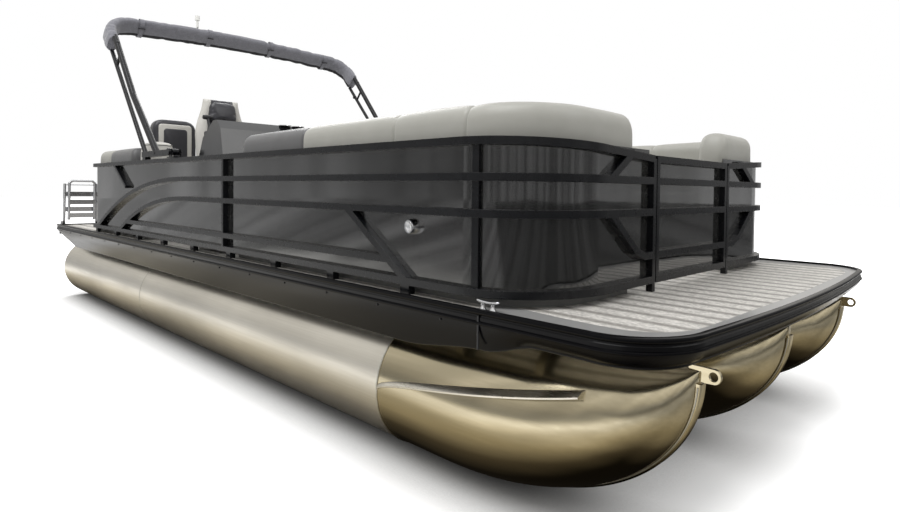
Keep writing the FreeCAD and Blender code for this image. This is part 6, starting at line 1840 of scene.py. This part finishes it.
@dataclass
class Studio:
    """Pale floor, soft lamps, and the camera of the photograph's view."""

    eye: Point = (5.1076, -2.7953, 1.2313)
    ahead: Point = (-0.65588, 0.75456, -0.02147)
    up: Point = (-0.02390, 0.00768, 0.99968)
    lens: float = 23.62
    shift: Plan = (-0.0874, -0.0587)
    floor_glow: float = 0.46
    footprint: Point = (4.1, 1.45, 0.0)
    footprint_middle: Point = (0.0, 0.35, 0.0)
    # Colours of the floor's painted reflection, from the boat's edge outward
    painted_reflection_stops: Stops = ((0.0, "#0f0d0a"), (0.02, "#3f392e"), (0.05, "#968d78"), (0.10, "#d8d1c1"),
                          (0.20, "#ffffff"), (0.40, "#f6f4ef"), (0.60, "#b4b4b2"), (1.0, "#acacac"))
    wall_stops: Stops = ((0.0, "#6c6a66"), (0.49, "#b2b2b2"), (0.53, "#a4a4a4"), (0.58, "#cfccc6"),
                         (0.70, "#f4f2ee"), (1.0, "#ffffff"))
    sky_stops: Stops = ((0.0, "#6a6a6a"), (0.5, "#858585"), (0.75, "#c8c8c8"), (1.0, "#f0f0f0"))

    def build(self) -> None:
        """Build the stage, lamps, world and camera."""
        bpy.context.scene.view_settings.view_transform = "Standard"
        self.floor()
        self.world()
        self.lamp("key", (1.5, -4.5, 9.0), (0.0, 0.0, 0.6), 520, 6.0)
        self.lamp("fill", (8.0, 1.5, 6.0), (0.5, 0.0, 0.8), 80, 4.0)
        self.lamp("rear", (-7.0, 3.0, 7.5), (-0.5, 0.0, 1.0), 300, 5.0)
        self.camera()

    def floor(self) -> None:
        """Build a pale floor that keeps the shadow, with painted shade near the boat, is white far away, and
        shines warm on the tubes as a painted reflection.
        """
        size = 60.0
        mesh = mesh_from([vec(-size, -size, 0), vec(size, -size, 0), vec(size, size, 0), vec(-size, size, 0)],
                         [(0, 1, 2, 3)])
        floor = linked("floor", mesh)
        made = bpy.data.materials.new("pale_floor")
        made.use_nodes = True
        tree = made.node_tree
        add = partial(add_node, tree)
        shader = tree.nodes["Principled BSDF"]
        place = add("TexCoord").outputs["Object"]
        grain = Finish.noise(add, place, Mottle(900))
        colour = add("Mix", {"data_type": "RGBA", 6: linear("#f4f4f4"), 7: linear("#f8f8f8")},
                     {0: grain}).outputs[2]
        # Painted shade: where occlusion finds the boat close above, the colour goes towards grey and the
        # camera glow fades
        nook = add("AmbientOcclusion", {"samples": 8, "Distance": 0.55}).outputs["AO"]
        open_air = add("Math", {"operation": "POWER", 1: 1.6}, {0: nook}).outputs[0]
        shaded = add("Mix", {"data_type": "RGBA", 6: linear("#6c6c6c")}, {0: nook, 7: colour})
        tree.links.new(shaded.outputs[2], shader.inputs["Base Color"])
        shader.inputs["Roughness"].default_value = 0.85
        ray = add("LightPath")
        away = self.distance(add, place)
        far = add("MapRange", {"interpolation_type": "SMOOTHSTEP", 1: -0.1, 2: 0.45, 3: self.floor_glow,
                               4: 1.2}, {0: away}).outputs[0]
        glow = add("Math", {"operation": "MULTIPLY"}, {0: far, 1: open_air}).outputs[0]
        glow = add("Math", {"operation": "MULTIPLY"}, {0: glow, 1: ray.outputs["Is Camera Ray"]})
        lit = add("Emission", {"Color": (1, 1, 1, 1)}, {"Strength": glow.outputs[0]})
        seen = add("AddShader", {}, {0: shader.outputs[0], 1: lit.outputs[0]})
        # Painted reflection: reflected rays see a glowing ramp, near black by the boat, white a little way
        # off, grey far out, with strips beyond and dimmer ahead of the bow
        ramp = self.ramp(add, add("MapRange", {1: 0.0, 2: 8.0}, {0: away}).outputs[0], self.painted_reflection_stops)
        cloud = Finish.noise(add, place, Mottle(1100, (0.45, 1.0, 1.0)))
        cloud = add("MapRange", {1: 0.36, 2: 0.64, 3: 1.05, 4: 2.0}, {0: cloud}).outputs[0]
        strips = self.strips(add, place)
        beyond = add("MapRange", {1: 3.0, 2: 5.5}, {0: away}).outputs[0]
        shine = add("Mix", {}, {0: beyond, 2: cloud, 3: strips}).outputs[0]
        ahead = add("SeparateXYZ", {}, {0: place}).outputs["X"]
        ahead = add("MapRange", {"interpolation_type": "SMOOTHSTEP", 1: 4.0, 2: 5.4, 3: 1.0, 4: 0.30},
                    {0: ahead}).outputs[0]
        shine = add("Math", {"operation": "MULTIPLY"}, {0: shine, 1: ahead}).outputs[0]
        mirrored = add("Emission", {}, {"Color": ramp, "Strength": shine})
        both = add(
            "MixShader", {}, {0: ray.outputs["Is Glossy Ray"], 1: seen.outputs[0], 2: mirrored.outputs[0]})
        tree.links.new(both.outputs[0], tree.nodes["Material Output"].inputs["Surface"])
        mesh.materials.append(made)

    def distance(self, add: Adder, place: Socket) -> Socket:
        """Return how far a floor point lies outside the boat's footprint, in metres."""
        moved = add("VectorMath", {"operation": "SUBTRACT", 1: self.footprint_middle}, {0: place})
        size = add("VectorMath", {"operation": "ABSOLUTE"}, {0: moved.outputs[0]}).outputs[0]
        past = add("VectorMath", {"operation": "SUBTRACT", 1: self.footprint}, {0: size}).outputs[0]
        past = add("VectorMath", {"operation": "MAXIMUM", 1: (0, 0, 0)}, {0: past}).outputs[0]
        return add("VectorMath", {"operation": "LENGTH"}, {0: past}).outputs["Value"]

    @staticmethod
    def ramp(add: Adder, share: Socket, stops: Stops) -> Socket:
        """Return a colour that runs through stops."""
        made = add("ValToRGB", {}, {0: share})
        elements = made.color_ramp.elements
        elements[0].position, elements[0].color = stops[0][0], linear(stops[0][1])
        elements[1].position, elements[1].color = stops[-1][0], linear(stops[-1][1])
        for position, colour in stops[1:-1]:
            element = elements.new(position)
            element.color = linear(colour)
        return made.outputs[0]

    @staticmethod
    def strips(add: Adder, place: Socket) -> Socket:
        """Return bright and dark upright strips that surround the boat, as a strength near 1."""
        flat = add("Mapping", {"Scale": (1.0, 1.0, 0.0)}, {0: place}).outputs[0]
        way = add("VectorMath", {"operation": "NORMALIZE"}, {0: flat}).outputs[0]
        found = add("TexNoise", {"Scale": 9.0, "Detail": 3.0, "Roughness": 0.6}, {0: way}).outputs[0]
        return add("MapRange", {1: 0.38, 2: 0.66, 3: 0.60, 4: 1.55}, {0: found}).outputs[0]

    def world(self) -> None:
        """Light the scene from a soft sky, and show the camera plain white."""
        world = bpy.data.worlds.new("studio")
        bpy.context.scene.world = world
        world.use_nodes = True
        world.node_tree.nodes.clear()
        add = partial(add_node, world.node_tree)
        ray = add("LightPath")
        direction = add("TexCoord").outputs["Generated"]
        height = add("SeparateXYZ", {}, {0: direction}).outputs["Z"]
        share = add("MapRange", {1: -1.0, 2: 1.0}, {0: height}).outputs[0]
        soft = add("Background", {"Strength": 1.0}, {"Color": self.ramp(add, share, self.sky_stops)})
        shine = add("Background", {}, {"Color": self.ramp(add, share, self.wall_stops),
                                       "Strength": self.strips(add, direction)})
        white = add("Background", {"Color": (1, 1, 1, 1), "Strength": 1.0})
        mirror = add(
            "MixShader", {}, {0: ray.outputs["Is Glossy Ray"], 1: soft.outputs[0], 2: shine.outputs[0]})
        seen = add("Math", {"operation": "MAXIMUM"},
                   {0: ray.outputs["Is Camera Ray"], 1: ray.outputs["Is Transmission Ray"]})
        final = add("MixShader", {}, {0: seen.outputs[0], 1: mirror.outputs[0], 2: white.outputs[0]})
        add("OutputWorld", {}, {"Surface": final.outputs[0]})

    def lamp(self, name: str, place: Point, target: Point, power: float, size: float) -> None:
        """Add a soft square lamp that looks at a point."""
        light = bpy.data.lights.new(name, "AREA")
        light.energy = power
        light.size = size
        made = linked(name, light)
        made.location = place
        made.rotation_euler = (Vector(target) - Vector(place)).to_track_quat("-Z", "Y").to_euler()

    def camera(self) -> None:
        """Place the camera by its fitted position, directions, lens and shift."""
        lens = bpy.data.cameras.new("camera")
        made = linked("camera", lens)
        ahead, up = Vector(self.ahead).normalized(), Vector(self.up).normalized()
        side = ahead.cross(up).normalized()
        up = side.cross(ahead)
        turn = Matrix((side, up, -ahead)).transposed().to_4x4()
        made.matrix_world = Matrix.Translation(Vector(self.eye)) @ turn
        lens.sensor_width = 36.0
        lens.lens = self.lens
        lens.shift_x, lens.shift_y = self.shift
        lens.clip_end = 200.0
        bpy.context.scene.camera = made


def main() -> None:
    """Dress the boat piece by piece."""
    logging.basicConfig(level=logging.INFO, format="%(name)s %(message)s")
    Studio().build()
    dress_solids()
    for part in (Lounges(), Chaise(), HelmChair(), Canopy(), Deck(), Trim(), Tubes(), Fence(), Helm(),
                 Outboard(), Ladder()):
        part.build()
        LOG.info("built %s", type(part).__name__)


if __name__ == "__main__":
    main()
